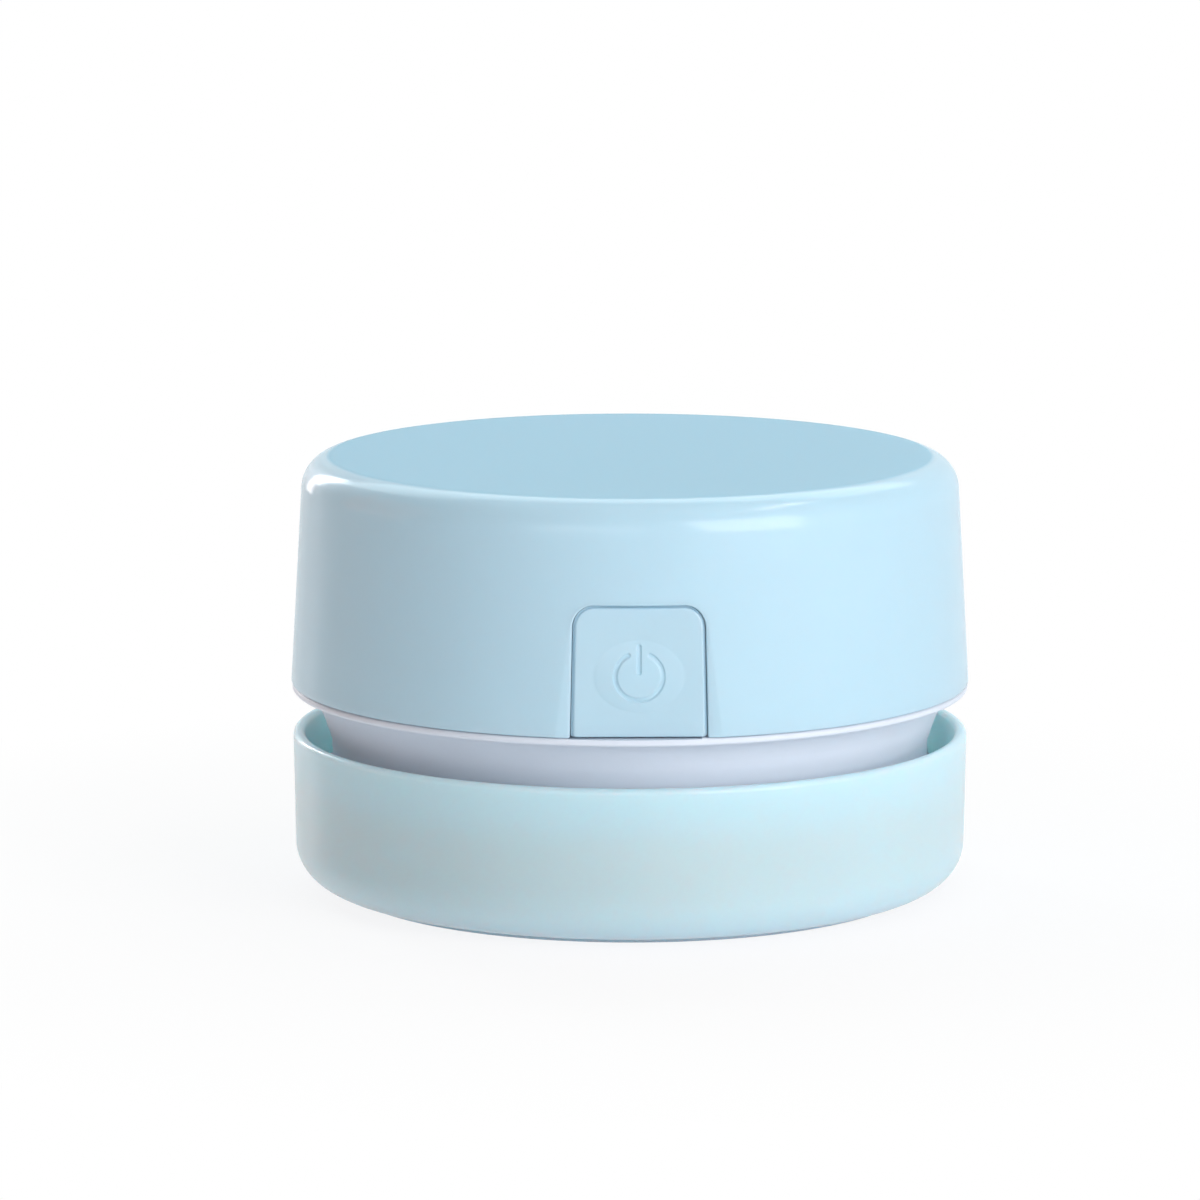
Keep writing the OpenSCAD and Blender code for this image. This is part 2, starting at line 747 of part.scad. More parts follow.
module windings() color(copper) for (i = [0:2]) rotate(i * 120) difference() {
    intersection() {
        translate([bush_r + 2 * hub_out, -coil_w / 2, core_z - coil_end])
            cube([core_r, coil_w, core_top - core_z + 2 * coil_end]);
        cylinder(h = motor_top, r = core_r - shoe_t - close_fit);
    }
    translate([0, -tooth_w / 2 - bore_fit, core_z - bore_fit])
        cube([core_r, tooth_w + 2 * bore_fit, core_top - core_z + 2 * bore_fit]);
}

module commutator() color(copper) translate([0, 0, core_top + coil_end])
    difference() {
        cylinder(h = motor_top + 0.4 - bush_l - core_top - coil_end - 0.3, r = bush_r);
        translate([0, 0, -past]) cylinder(h = motor_l, r = shaft_r + bore_fit);
        for (i = [0:2]) rotate(60 + i * 120) translate([bush_r - 0.6, -0.2, -past])
            cube([past, 0.4, motor_l]);
    }

// Fan

// A blade is an arc: a circle whose centre lies on the x axis, kept above that axis
module blade_outline() {
    bow = 0.44 * fan_r;
    intersection() {
        translate([0.52 * fan_r, 0]) ring(bow - blade_t / 2, bow + blade_t / 2);
        ring(fan_r / 3, fan_r);
        square([fan_r, fan_r]);
    }
}

module fan_wheel() color(frame_white) difference() {
    union() {
        translate([0, 0, disc_top - disc_t]) cylinder(h = disc_t, r = fan_r);
        translate([0, 0, fan_z]) cylinder(h = fan_hub_top - fan_z, r = fan_hub_r);
        translate([0, 0, fan_z]) linear_extrude(disc_top - disc_t / 2 - fan_z)
            for (i = [0:blade_n - 1]) rotate(i * 360 / blade_n) blade_outline();
    }
    translate([0, 0, fan_z - past]) cylinder(h = motor_l, r = shaft_r + bore_fit);
}

// Battery

// Puts its children on the cell's axis: z along the cell
module along_cell() {
    translate([0, cell_y, cell_z]) rotate([0, 90, 0]) children();
}

module battery_cell() color([0.30, 0.52, 0.72]) along_cell() {
    nub = 0.8;
    translate([0, 0, -cell_l / 2]) cylinder(h = cell_l - nub, r = cell_r);
    translate([0, 0, -cell_l / 2]) cylinder(h = cell_l, r = cell_r / 3);
}

module battery_tabs() color(steel) along_cell() for (side = [-1, 1])
    translate([0, 0, side * (cell_l / 2 + tab_t / 2)])
        cube([cell_r, cell_r / 2, tab_t], center = true);

// A part of the cradle at x, with its length along the cell, on the deck
module cradle_plate(x, length, height) {
    half_w = cell_r + cradle_wall;
    translate([x - length / 2, cell_y - half_w, deck_top]) cube([length, 2 * half_w, height]);
}

module battery_cradle() color(part_black) intersection() {
    union() {
        difference() {
            union() {
                cradle_plate(0, 2 * cradle_end_x, cradle_end_t);
                for (side = [-1, 0, 1])
                    cradle_plate(side * cell_l / 3, saddle_t, cell_z - cell_r / 4 - deck_top);
            }
            along_cell() cylinder(h = 2 * cell_l, r = cell_r + close_fit, center = true);
        }
        for (side = [-1, 1]) cradle_plate(side * (cradle_end_x + cradle_end_t / 2),
                                          cradle_end_t, cell_z + cell_r / 2 - deck_top);
    }
    cylinder(h = total_h, r = neck_in - loose_fit);
}

// Electronics

module switch_board() color(board_green)
    translate([-switch_board_w / 2, switch_board_y, deck_top])
        cube([switch_board_w, board_t, switch_board_h]);

module switch_body() color(part_black) difference() {
    translate([-switch_w / 2, switch_face_y, key_z - switch_w / 2])
        cube([switch_w, switch_t, switch_w]);
    translate([0, switch_board_y - 0.6, key_z]) rotate([90, 0, 0])
        cylinder(h = switch_t, d = plunger_d + 2 * bore_fit);
}

module switch_plunger() color([0.85, 0.30, 0.25])
    translate([0, plunger_y + plunger_l, key_z]) rotate([90, 0, 0])
        cylinder(h = plunger_l, d = plunger_d);

module charge_board() color(board_green) difference() {
    translate([-charge_board_w / 2, charge_board_y, charge_board_z])
        cube([charge_board_w, charge_board_l, board_t]);
    for (side = [-1, 1]) translate([side * charge_post_x, charge_post_y, 0])
        cylinder(h = total_h, d = small_screw_d + loose_fit);
}

module charge_socket() color(steel) difference() {
    translate([0, socket_y, socket_z]) rotate([90, 0, 0]) linear_extrude(socket_l)
        socket_outline(0);
    translate([0, socket_y + past, socket_z]) rotate([90, 0, 0])
        linear_extrude(socket_l + past - tongue_root) difference() {
            socket_outline(-socket_wall);
            square([socket_w - 2 * (socket_wall + tongue_gap), tongue_t], center = true);
        }
}

module board_screws() color(steel) for (side = [-1, 1])
    translate([side * charge_post_x, charge_post_y, socket_z - socket_h / 2])
        mirror([0, 0, 1]) screw(small_screw_d, board_screw_l, small_head_h);

// Power key

module power_key() color(key_blue) {
    low = seam;
    dome_r = dome_d / 2;
    ball = (dome_r * dome_r + dome_h * dome_h) / (2 * dome_h);
    difference() {
        on_flat() {
            translate([0, 0, -key_t]) linear_extrude(key_t) key_outline(0, low);
            translate([0, 0, -key_t]) linear_extrude(key_t - facet_t) key_outline(key_lip, low);
            intersection() {
                translate([0, key_mid, dome_h - ball]) sphere(ball);
                translate([0, key_mid, -key_face_t / 2]) cylinder(h = key_face_t, r = dome_r);
            }
        }
        on_flat() translate([0, 0, -key_t - past]) linear_extrude(key_t - key_face_t + past)
            key_outline(-key_face_t, low + key_face_t);
    }
    // The post behind the face meets the switch's plunger
    translate([0, plunger_y, key_z]) rotate([90, 0, 0])
        cylinder(h = facet_y - key_mid * sin(facet_lean) + plunger_y - key_face_t / 2,
                 d = plunger_d + 1);
}

dust_cup();
brush_plate();
brush_strip(3);  // brush_strip_front
brush_strip(0);  // brush_strip_right
brush_strip(1);  // brush_strip_back
brush_strip(2);  // brush_strip_left
plate_screws();
filter_frame();
filter_cloth();
mid_frame();
neck_seal();
fan_guard();
top_cover();
cover_screws();
motor_can();
motor_cap();
motor_magnets();
motor_bushes();
motor_terminals();
motor_screws();
battery_cell();
battery_tabs();
battery_cradle();
switch_board();
switch_body();
charge_board();
charge_socket();
board_screws();
power_key();
switch_plunger();
fan_wheel();
motor_shaft();
armature();
windings();
commutator();
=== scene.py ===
# %% [markdown]
# # A small desk vacuum, cell by cell
# The vacuum is a pale blue drum about as wide as a palm. A cup stands on the desk, and a motor
# head with a power key in its side plugs in above it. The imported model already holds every
# solid in its true place, in metres, so this notebook never fits anything: it loads the solids,
# dresses them, and rebuilds the few whose surfaces need more than a solid gives.

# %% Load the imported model
import json
import math
from functools import partial

import bmesh
import bpy
import numpy as np
from mathutils import Matrix, Vector


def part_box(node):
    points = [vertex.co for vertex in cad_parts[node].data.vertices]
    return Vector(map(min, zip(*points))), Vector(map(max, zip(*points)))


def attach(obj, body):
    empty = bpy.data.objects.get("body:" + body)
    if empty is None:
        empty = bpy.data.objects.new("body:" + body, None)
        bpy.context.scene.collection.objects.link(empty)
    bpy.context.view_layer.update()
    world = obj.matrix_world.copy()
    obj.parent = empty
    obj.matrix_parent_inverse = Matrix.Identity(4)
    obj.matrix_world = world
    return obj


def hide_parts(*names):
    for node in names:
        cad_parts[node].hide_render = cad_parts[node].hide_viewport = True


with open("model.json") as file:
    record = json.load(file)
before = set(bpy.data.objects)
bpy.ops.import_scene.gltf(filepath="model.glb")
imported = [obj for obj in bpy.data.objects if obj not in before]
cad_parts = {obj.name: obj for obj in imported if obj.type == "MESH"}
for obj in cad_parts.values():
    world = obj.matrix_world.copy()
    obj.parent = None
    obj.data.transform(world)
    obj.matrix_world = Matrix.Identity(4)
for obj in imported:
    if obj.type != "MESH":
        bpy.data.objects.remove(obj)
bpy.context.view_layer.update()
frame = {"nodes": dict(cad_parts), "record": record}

MM = 0.001
nodes = frame["nodes"]
body_of = {node: body for body, names in frame["record"]["behaviour"]["bodies"].items()
           for node in names}

# %% [markdown]
# ## Camera
# The view is taken from the front, a little from the left and about ten degrees above the
# desk, with a long lens, so that the drum's edges hardly converge. A camera could be aimed with
# a constraint, but plain numbers are clearer: it looks at the middle of the drum's axis, then
# turns a fraction of a degree so that the drum sits low in the frame.

# %% Camera
LENS, FILM = 193.49, 36
DISTANCE = 814.57 * MM
AZIMUTH, ELEVATION = -1.53, 9.968
AIM = Vector((0, 0, 28 * MM))
YAW, PITCH, ROLL = math.radians(0.266), math.radians(0.567), math.radians(0.059)


def outwards(azimuth, elevation):
    """The direction out of the drum, in degrees to the right of its front and above the desk."""
    a, e = math.radians(azimuth), math.radians(elevation)
    return Vector((math.sin(a) * math.cos(e), -math.cos(a) * math.cos(e), math.sin(e)))


def stand(name, data):
    """Puts a new object in the scene."""
    made = bpy.data.objects.new(name, data)
    bpy.context.scene.collection.objects.link(made)
    return made


camera = stand("camera", bpy.data.cameras.new("camera"))
camera.data.lens, camera.data.sensor_width = LENS, FILM
back = outwards(AZIMUTH, ELEVATION)
turn = (-back).to_track_quat("-Z", "Y").to_matrix().to_4x4()
turn = turn @ Matrix.Rotation(YAW, 4, "Y") @ Matrix.Rotation(PITCH, 4, "X")
camera.matrix_world = (Matrix.Translation(AIM + back * DISTANCE) @ turn
                       @ Matrix.Rotation(ROLL, 4, "Z"))
bpy.context.scene.camera = camera
print("camera at", [round(v, 3) for v in camera.location])

# %% [markdown]
# ## Studio
# The drum stands on a white table in front of nothing but white. The light is soft and comes
# mostly from the right, so the round wall shades from bright at the right to grey at the left.
# The white behind is no extra light: the world and the table only look white to the camera and
# to reflections, and the table keeps the drum's shadow.

# %% Node helpers
def feed(tree, node, *feeds, **named):
    """Fills a node's inputs, in order or by name (an underscore stands for a space)."""
    inputs = list(enumerate(feeds))
    inputs += [(name.replace("_", " "), value) for name, value in named.items()]
    for key, value in inputs:
        if isinstance(value, bpy.types.NodeSocket):
            tree.links.new(value, node.inputs[key])
        elif value is not None:
            node.inputs[key].default_value = value


def put(tree, kind, *feeds, **named):
    """Adds a node. A name in small letters is a setting of the node, any other is an input."""
    made = tree.nodes.new(kind)
    for name in [name for name in named if name[0].islower()]:
        setattr(made, name, named.pop(name))
    feed(tree, made, *feeds, **named)
    return made


def reckon(tree, operation, *values):
    """The result of a sum on sockets or plain numbers."""
    return put(tree, "ShaderNodeMath", *values, operation=operation).outputs[0]


def seen_white(tree):
    """1 for what the camera, mirrors and glass see, and 0 for the light on the object."""
    path = put(tree, "ShaderNodeLightPath").outputs
    most = path["Is Camera Ray"]
    for ray in ("Is Glossy Ray", "Is Transmission Ray"):
        most = reckon(tree, "MAXIMUM", most, path[ray])
    return most


# %% World
WHITE, FAINT_SKY, FAINT = (1, 1, 1, 1), (0.93, 0.97, 1.0, 1), 0.04
bpy.context.scene.view_settings.view_transform = "Standard"
world = bpy.data.worlds.new("studio")
bpy.context.scene.world = world
world.use_nodes = True
air = world.node_tree
air.nodes.clear()
soft = put(air, "ShaderNodeBackground", Color=FAINT_SKY, Strength=FAINT)
bright = put(air, "ShaderNodeBackground", Color=WHITE, Strength=1.0)
sky = put(air, "ShaderNodeMixShader", seen_white(air), soft.outputs[0], bright.outputs[0])
put(air, "ShaderNodeOutputWorld", sky.outputs[0])
print("world with", len(air.nodes), "nodes")

# %% [markdown]
# ### Table
# The table is a matt sheet that mostly glows white to the camera. Near the drum the glow steps
# back a little, in a round fade, and lets the drum's true shadow through. A shadow catcher would
# need a compositor. From below the sheet is clear, so that the underside can be looked at.

# %% Table
SHADOW_SHARE, SHADOW_REACH, FADE_END, TABLE_REACH = 0.14, 0.13, 0.6, 3.0
table_white = bpy.data.materials.new("table_white")
table_white.use_nodes = True
wood = table_white.node_tree
wood.nodes.clear()
matt = put(wood, "ShaderNodeBsdfDiffuse", Color=(0.86, 0.87, 0.88, 1))
glow = put(wood, "ShaderNodeEmission", Color=WHITE, Strength=1.0)
near = put(wood, "ShaderNodeMapping", Vector=put(wood, "ShaderNodeTexCoord").outputs["Object"],
           Scale=(1 / SHADOW_REACH,) * 3)
fade = put(wood, "ShaderNodeTexGradient", Vector=near.outputs[0], gradient_type="SPHERICAL")
whiter = put(wood, "ShaderNodeMapRange", Value=fade.outputs["Fac"], From_Max=FADE_END,
             To_Min=1.0, To_Max=1 - SHADOW_SHARE)
share = reckon(wood, "MULTIPLY", seen_white(wood), whiter.outputs["Result"])
above = put(wood, "ShaderNodeMixShader", share, matt.outputs[0], glow.outputs[0])
sheer = put(wood, "ShaderNodeMixShader", put(wood, "ShaderNodeNewGeometry").outputs["Backfacing"],
            above.outputs[0], put(wood, "ShaderNodeBsdfTransparent").outputs[0])
put(wood, "ShaderNodeOutputMaterial", sheer.outputs[0])

sheet = bpy.data.meshes.new("table")
sheet.from_pydata([(x * TABLE_REACH, y * TABLE_REACH, 0)
                   for x, y in ((-1, -1), (1, -1), (1, 1), (-1, 1))], [], [(0, 1, 2, 3)])
sheet.materials.append(table_white)
table = stand("table", sheet)
table.visible_shadow = False
print("table", 2 * TABLE_REACH, "m wide")

# %% [markdown]
# ### Lamps
# One window of light at the right does most of the work. The others stand for the room: a warm
# wall at the left, a cool panel above, and thin strips behind that draw the drum's edges. Point
# lamps would leave hard spots on the gloss, so each is a square of light aimed at the drum.

# %% Lamps
LAMPS = (  # name, azimuth and elevation in degrees, distance, width and height, power, colour
    ("window_right", 41, 20, 0.9, 0.6, 0.6, 6.8, (1.0, 0.95, 0.935)),
    ("side_right", 64, 8, 0.9, 0.5, 0.6, 0.35, (1.0, 0.93, 0.92)),
    ("high_right", 88, 60, 0.8, 0.34, 0.08, 0.7, (1.0, 0.9, 0.9)),
    ("front_fill", -16, 14, 0.9, 0.6, 0.4, 1.6, (1.0, 0.98, 1.0)),
    ("left_fill", -100, 18, 0.9, 0.6, 0.6, 1.35, (1.0, 0.48, 0.28)),
    ("top_panel", 0, 82, 0.8, 0.8, 0.6, 1.1, (0.82, 0.96, 1.0)),
    ("back_left", -149, 20, 0.9, 0.16, 0.3, 1.1, (0.9, 0.95, 1.0)),
    ("back_strip", 180, 50, 0.9, 1.2, 0.5, 5.0, (0.82, 0.96, 1.0)),
    ("edge_left", -150, 5, 0.9, 0.12, 0.7, 1.3, (1.0, 0.88, 0.88)),
    ("low_left", -60, -62, 0.45, 0.25, 0.25, 0.35, (1.0, 0.8, 0.68)),
)
for name, azimuth, elevation, distance, width, height, power, colour in LAMPS:
    lamp = bpy.data.lights.new(name, "AREA")
    lamp.shape = "RECTANGLE"
    lamp.size, lamp.size_y, lamp.energy, lamp.color = width, height, power, colour
    holder, out = stand(name, lamp), outwards(azimuth, elevation)
    holder.location = AIM + out * distance
    holder.rotation_euler = (-out).to_track_quat("-Z", "Y").to_euler()
print(len(LAMPS), "lamps")

# %% [markdown]
# ## Finishes
# Nearly everything is moulded plastic. A flat colour would look like paper, so each finish
# mixes three things at their real scale: a faint cloudy tint that the resin keeps from the
# mould, a roughness that wanders a little, and a bump as fine as the mould's polish. Image
# textures could do it too, but noise on the object's own coordinates needs no unwrapping.

# %% Helpers for finishes
def srgb(r, g, b):
    """A colour as a picture shows it, 0 to 255, turned into the light that it stands for."""
    return tuple(((c / 255 + 0.055) / 1.055) ** 2.4 if c > 10 else c / 3294.6
                 for c in (r, g, b)) + (1.0,)


def shade(colour, factor):
    """The colour made darker or lighter by a factor."""
    return tuple(min(1, c * factor) for c in colour[:3]) + (1,)


def new_finish(name, **inputs):
    """A new finish, with inputs of its skin set, and the place that its patterns read."""
    finish = bpy.data.materials.new(name)
    finish.use_nodes = True
    tree = finish.node_tree
    skin = tree.nodes["Principled BSDF"]
    feed(tree, skin, **inputs)
    return finish, tree, skin, put(tree, "ShaderNodeTexCoord").outputs["Object"]


def noise(tree, where, size_mm, **inputs):
    """A noise whose spots are about so many mm wide."""
    return put(tree, "ShaderNodeTexNoise", Vector=where, Scale=1000 / size_mm, **inputs).outputs[0]


def two_tone(tree, pattern, dark, light, margin=0.25):
    """A colour that goes from dark to light with the pattern."""
    paint = put(tree, "ShaderNodeValToRGB", pattern)
    for stop, at, colour in zip(paint.color_ramp.elements, (margin, 1 - margin), (dark, light)):
        stop.position, stop.color = at, colour
    return paint.outputs["Color"]


def wander(tree, skin, pattern, rough, swing):
    """Lets the roughness wander with the pattern, by a share of its mean."""
    polish = put(tree, "ShaderNodeMapRange", Value=pattern, From_Min=0.3, From_Max=0.7,
                 To_Min=rough * (1 - swing), To_Max=rough * (1 + swing))
    feed(tree, skin, Roughness=polish.outputs["Result"])


def emboss(tree, skin, pattern, strength, depth_mm):
    """Raises the surface with the pattern."""
    relief = put(tree, "ShaderNodeBump", Strength=strength, Distance=depth_mm * MM, Height=pattern)
    feed(tree, skin, Normal=relief.outputs["Normal"])


# %% [markdown]
# ### Moulded plastic
# The cup is thin and lets light through, and the cover and the key have a thin gloss on top of
# a duller plastic: subsurface light and a coat give both. Two pieces also carry painted light
# where they face another way: inside, the cup wears a lighter, greener painted glow for the light
# that bounces in its bowl, and the cover's top wears a slightly darker painted shade and is matt
# where its shoulder is glossy. A second finish would end in a hard line, so each point of the
# mesh carries a number that fades the painted colour and the lower gloss in over the plain ones.

# %% Moulded plastic
PLASTIC_IOR, COAT_ROUGH, MATT_SHARE = 1.46, 0.12, 0.25
GLOW_REACH, GLOW_TINT = 6 * MM, (0.45, 1.0, 1.15)


def moulded(name, colour, rough, cloud_mm=14.0, grain_mm=0.35, grain=0.12, tint=0.01, sheen=0.5,
            coat=0.0, through=0.0, painted_light_and_matt=None):
    """Cloudy moulded plastic; the points marked for it wear a painted light or shade colour, with
    less gloss.
    """
    finish, tree, skin, where = new_finish(
        name, IOR=PLASTIC_IOR, Specular_IOR_Level=sheen, Coat_Weight=coat,
        Coat_Roughness=COAT_ROUGH, Subsurface_Weight=through, Subsurface_Radius=GLOW_TINT,
        Subsurface_Scale=GLOW_REACH)
    cloud = noise(tree, where, cloud_mm, Detail=3.0)
    tinted = two_tone(tree, cloud, shade(colour, 1 - tint), shade(colour, 1 + tint))
    # The marked points get painted light: a glow inside the cup, a darker shade on the cover's top.
    if painted_light_and_matt:
        marked = put(tree, "ShaderNodeAttribute", attribute_name="painted_light_and_matt").outputs["Fac"]
        tinted = put(tree, "ShaderNodeMixRGB", marked, tinted, painted_light_and_matt).outputs["Color"]
        for socket, most, least in (("Coat_Weight", coat, coat * MATT_SHARE),
                                    ("Specular_IOR_Level", sheen, 0.0)):
            duller = put(tree, "ShaderNodeMapRange", Value=marked, To_Min=most, To_Max=least)
            feed(tree, skin, **{socket: duller.outputs["Result"]})
    feed(tree, skin, Base_Color=tinted)
    wander(tree, skin, cloud, rough, 0.12)
    emboss(tree, skin, noise(tree, where, grain_mm, Detail=2.0), grain, 0.02)
    return finish


# %% [markdown]
# ### Metal, fibre and board
# Metal needs streaks instead of clouds: the noise is squeezed along one direction, so the light
# draws lines across it. Felt and nylon need fibres: a fine, strong noise in colour and height.
# The boards get copper lines under their lacquer, from a brick pattern that is turned on itself.

# %% Metal, fibre and board
def metal(name, colour, rough, streak=(1, 1, 40), grain_mm=0.5, tint=0.06, bands_mm=0.0):
    """Drawn metal with streaks, or metal in bands, such as wound wire or stacked sheets."""
    finish, tree, skin, where = new_finish(name, Metallic=1.0)
    squeezed = put(tree, "ShaderNodeMapping", Vector=where, Scale=streak).outputs[0]
    streaks = noise(tree, squeezed, grain_mm * max(streak), Detail=4.0)
    pattern, strength = streaks, 0.1
    if bands_mm:
        bands = put(tree, "ShaderNodeTexWave", Vector=where, bands_direction="Z",
                    Scale=1000 * math.pi / bands_mm / 10)
        pattern, strength = bands.outputs["Fac"], 0.25
    feed(tree, skin, Base_Color=two_tone(tree, pattern, shade(colour, 1 - 3 * tint),
                                         shade(colour, 1 + tint)))
    wander(tree, skin, streaks, rough, 0.22)
    emboss(tree, skin, pattern, strength, 0.03)
    return finish


def fibrous(name, dark, light, fibre_mm, rough, relief_mm, sheen):
    """Tangled fibres, pressed or felted."""
    finish, tree, skin, where = new_finish(name, Roughness=rough, Sheen_Weight=sheen)
    tangle = noise(tree, where, fibre_mm, Detail=5.0, Distortion=1.6)
    feed(tree, skin, Base_Color=two_tone(tree, tangle, dark, light, margin=0.3))
    emboss(tree, skin, tangle, 0.6, relief_mm)
    return finish


def lacquered_board(name, trace_mm=6.0, weave_mm=0.6):
    """Green lacquer over copper lines and a woven core."""
    finish, tree, skin, where = new_finish(name, Roughness=0.32, Coat_Weight=0.5)
    slanted = put(tree, "ShaderNodeMapping", Vector=where,
                  Rotation=(math.radians(40), math.radians(20), 0)).outputs[0]
    traces = put(tree, "ShaderNodeTexBrick", Vector=slanted, Color1=(0.02, 0.16, 0.09, 1),
                 Color2=(0.03, 0.2, 0.11, 1), Mortar=(0.09, 0.36, 0.2, 1), Mortar_Size=0.03,
                 Scale=1000 / trace_mm)
    feed(tree, skin, Base_Color=traces.outputs["Color"])
    emboss(tree, skin, noise(tree, where, weave_mm, Detail=2.0), 0.3, 0.04)
    return finish


# %% [markdown]
# ### Every finish
# The cover and the key share one blue and the cup is paler. The frame is white, painted a little
# bluer and darker: painted reflection of the blue cup and painted shade where its neck shows in
# the slot. The parts inside get what such parts have: enamelled copper, stacked steel, a film
# round the cell. A solid that keeps its shape is dressed by the name of its slot, which is
# simpler than one by one.

# %% Every finish, and the solids that keep their shape
finishes = {
    # The cover's second colour is a slightly darker painted shade on its top, which is also matt.
    "cover_plastic": moulded("cover_blue", srgb(175, 209, 227), 0.44, sheen=0.1, coat=0.44,
                             through=0.2, painted_light_and_matt=srgb(167, 207, 227)),
    # The cup's second colour is a painted glow for the light that bounces inside its bowl.
    "cup_plastic": moulded("cup_blue", srgb(187, 222, 251), 0.44, sheen=0.15, coat=0.3,
                           through=0.9, painted_light_and_matt=srgb(216, 246, 255)),
    "key_plastic": moulded("key_blue", srgb(175, 209, 227), 0.44, sheen=0.1, coat=0.44,
                           through=0.2),
    # The frame's blue cast and lower level are painted reflection of the cup and painted shade.
    "frame_plastic": moulded("frame_white", srgb(210, 220, 232), 0.42, sheen=0.3),
    "seal_rubber": moulded("seal_grey", srgb(120, 126, 134), 0.62, grain_mm=0.2, grain=0.4,
                           tint=0.06, sheen=0.3),
    "bristle_nylon": moulded("bristle_grey", srgb(66, 70, 78), 0.42, cloud_mm=0.8, tint=0.25),
    "filter_felt": fibrous("felt_white", srgb(206, 209, 208), srgb(240, 241, 238), 0.22, 0.9,
                           0.08, 0.35),
    "steel": metal("drawn_steel", srgb(186, 189, 193), 0.38),
    "screw_steel": metal("screw_steel", srgb(190, 192, 196), 0.36, streak=(1, 1, 1), grain_mm=0.3),
    "brass": metal("brass", srgb(214, 184, 112), 0.36, streak=(1, 1, 6)),
    "copper": metal("enamelled_wire", srgb(196, 110, 66), 0.4, bands_mm=0.5),
    "laminated_steel": metal("laminated_steel", srgb(140, 142, 146), 0.45, bands_mm=0.5),
    "magnet": moulded("magnet_dark", srgb(62, 60, 62), 0.6, cloud_mm=2.0, grain_mm=0.15,
                      grain=0.6, tint=0.12, sheen=0.3),
    "black_plastic": moulded("black_moulding", srgb(48, 49, 52), 0.42, tint=0.06),
    "cell_wrap": moulded("cell_film", srgb(72, 126, 176), 0.2, cloud_mm=3.0, grain_mm=0.8,
                         grain=0.3, tint=0.06),
    "board": lacquered_board("board_green"),
    "plunger_plastic": moulded("plunger_red", srgb(206, 84, 70), 0.4, tint=0.04),
}
OWN_FINISH = {"armature": "laminated_steel"}
for node, thing in nodes.items():
    slot = thing.data.materials[0].name.split(".")[0]
    thing.data.materials[0] = finishes[OWN_FINISH.get(node, slot)]
print(len(finishes), "finishes on", len(nodes), "solids")

# %% [markdown]
# ## Node trees from a script
# What repeats or follows a rule is made by Geometry Nodes. A tree could be drawn in the editor,
# but this notebook would then need a second file. Built here, a tree has named inputs for its
# sizes, runs once on a start mesh, and leaves a plain mesh.

# %% Geometry Nodes helpers
def new_tree(name, inputs):
    """A node group for a modifier: geometry in, geometry out, and named inputs with defaults."""
    tree = bpy.data.node_groups.new(name, "GeometryNodeTree")
    for label, (kind, value) in {"Geometry": ("Geometry", None), **inputs}.items():
        socket = tree.interface.new_socket(label, in_out="INPUT", socket_type="NodeSocket" + kind)
        if value is not None:
            socket.default_value = value
    tree.interface.new_socket("Geometry", in_out="OUTPUT", socket_type="NodeSocketGeometry")
    return tree, tree.nodes.new("NodeGroupInput").outputs, tree.nodes.new("NodeGroupOutput")


def tools(tree):
    """Short names for work in one tree: lay a node, find a value, and the four plain sums."""
    return partial(put, tree), partial(reckon, tree), *(
        partial(reckon, tree, kind) for kind in ("ADD", "SUBTRACT", "MULTIPLY", "DIVIDE"))


def end_tree(tree, shape, give, take):
    """Ends a tree: copies become real geometry, and the finish is set."""
    real = put(tree, "GeometryNodeRealizeInstances", shape)
    coated = put(tree, "GeometryNodeSetMaterial", real.outputs[0], Material=give["Finish"])
    feed(tree, take, coated.outputs[0])


def run_tree(start, tree, name, **values):
    """Runs the tree on a mesh and keeps the result as a plain mesh, with no modifier."""
    carrier = stand(name + "_raw", start)
    modifier = carrier.modifiers.new("rule", "NODES")
    modifier.node_group = tree
    for item in tree.interface.items_tree:
        if item.in_out == "INPUT" and item.name in values:
            modifier[item.identifier] = values[item.name]
    return as_mesh(carrier)


def as_mesh(carrier):
    """The mesh that an object's modifiers make of it; the object goes."""
    seen = carrier.evaluated_get(bpy.context.evaluated_depsgraph_get())
    mesh = bpy.data.meshes.new_from_object(seen)
    bpy.data.objects.remove(carrier)
    return mesh


# %% [markdown]
# Other pieces are built point by point. They share a few helpers: rows of points are bridged by
# quads, ends are closed by triangles, and every mesh is welded and has its faces turned outwards
# before it is shown, because a face the wrong way round looks black or lets light through.

# %% Mesh helpers
WELD, FINE_WELD, TINY_WELD = 1e-6, 1e-7, 1e-8


def mesh_of(name, points, faces=(), edges=()):
    """A mesh of points in mm."""
    mesh = bpy.data.meshes.new(name)
    mesh.from_pydata([tuple(float(c) * MM for c in p) for p in points], list(edges), list(faces))
    return mesh


def from_form(name, form):
    """The mesh of a bmesh, which is freed."""
    mesh = bpy.data.meshes.new(name)
    form.to_mesh(mesh)
    form.free()
    return mesh


def bridge(rows, ring=False):
    """Quads between neighbouring rows of point numbers; a ring also closes each row."""
    faces = []
    for one, two in zip(rows, rows[1:]):
        for m in range(len(one) - (not ring)):
            n = (m + 1) % len(one)
            faces.append((one[m], one[n], two[n], two[m]))
    return faces


def cap(middle, ring):
    """Triangles from a middle point to a ring."""
    return [(middle, ring[m], ring[(m + 1) % len(ring)]) for m in range(len(ring))]


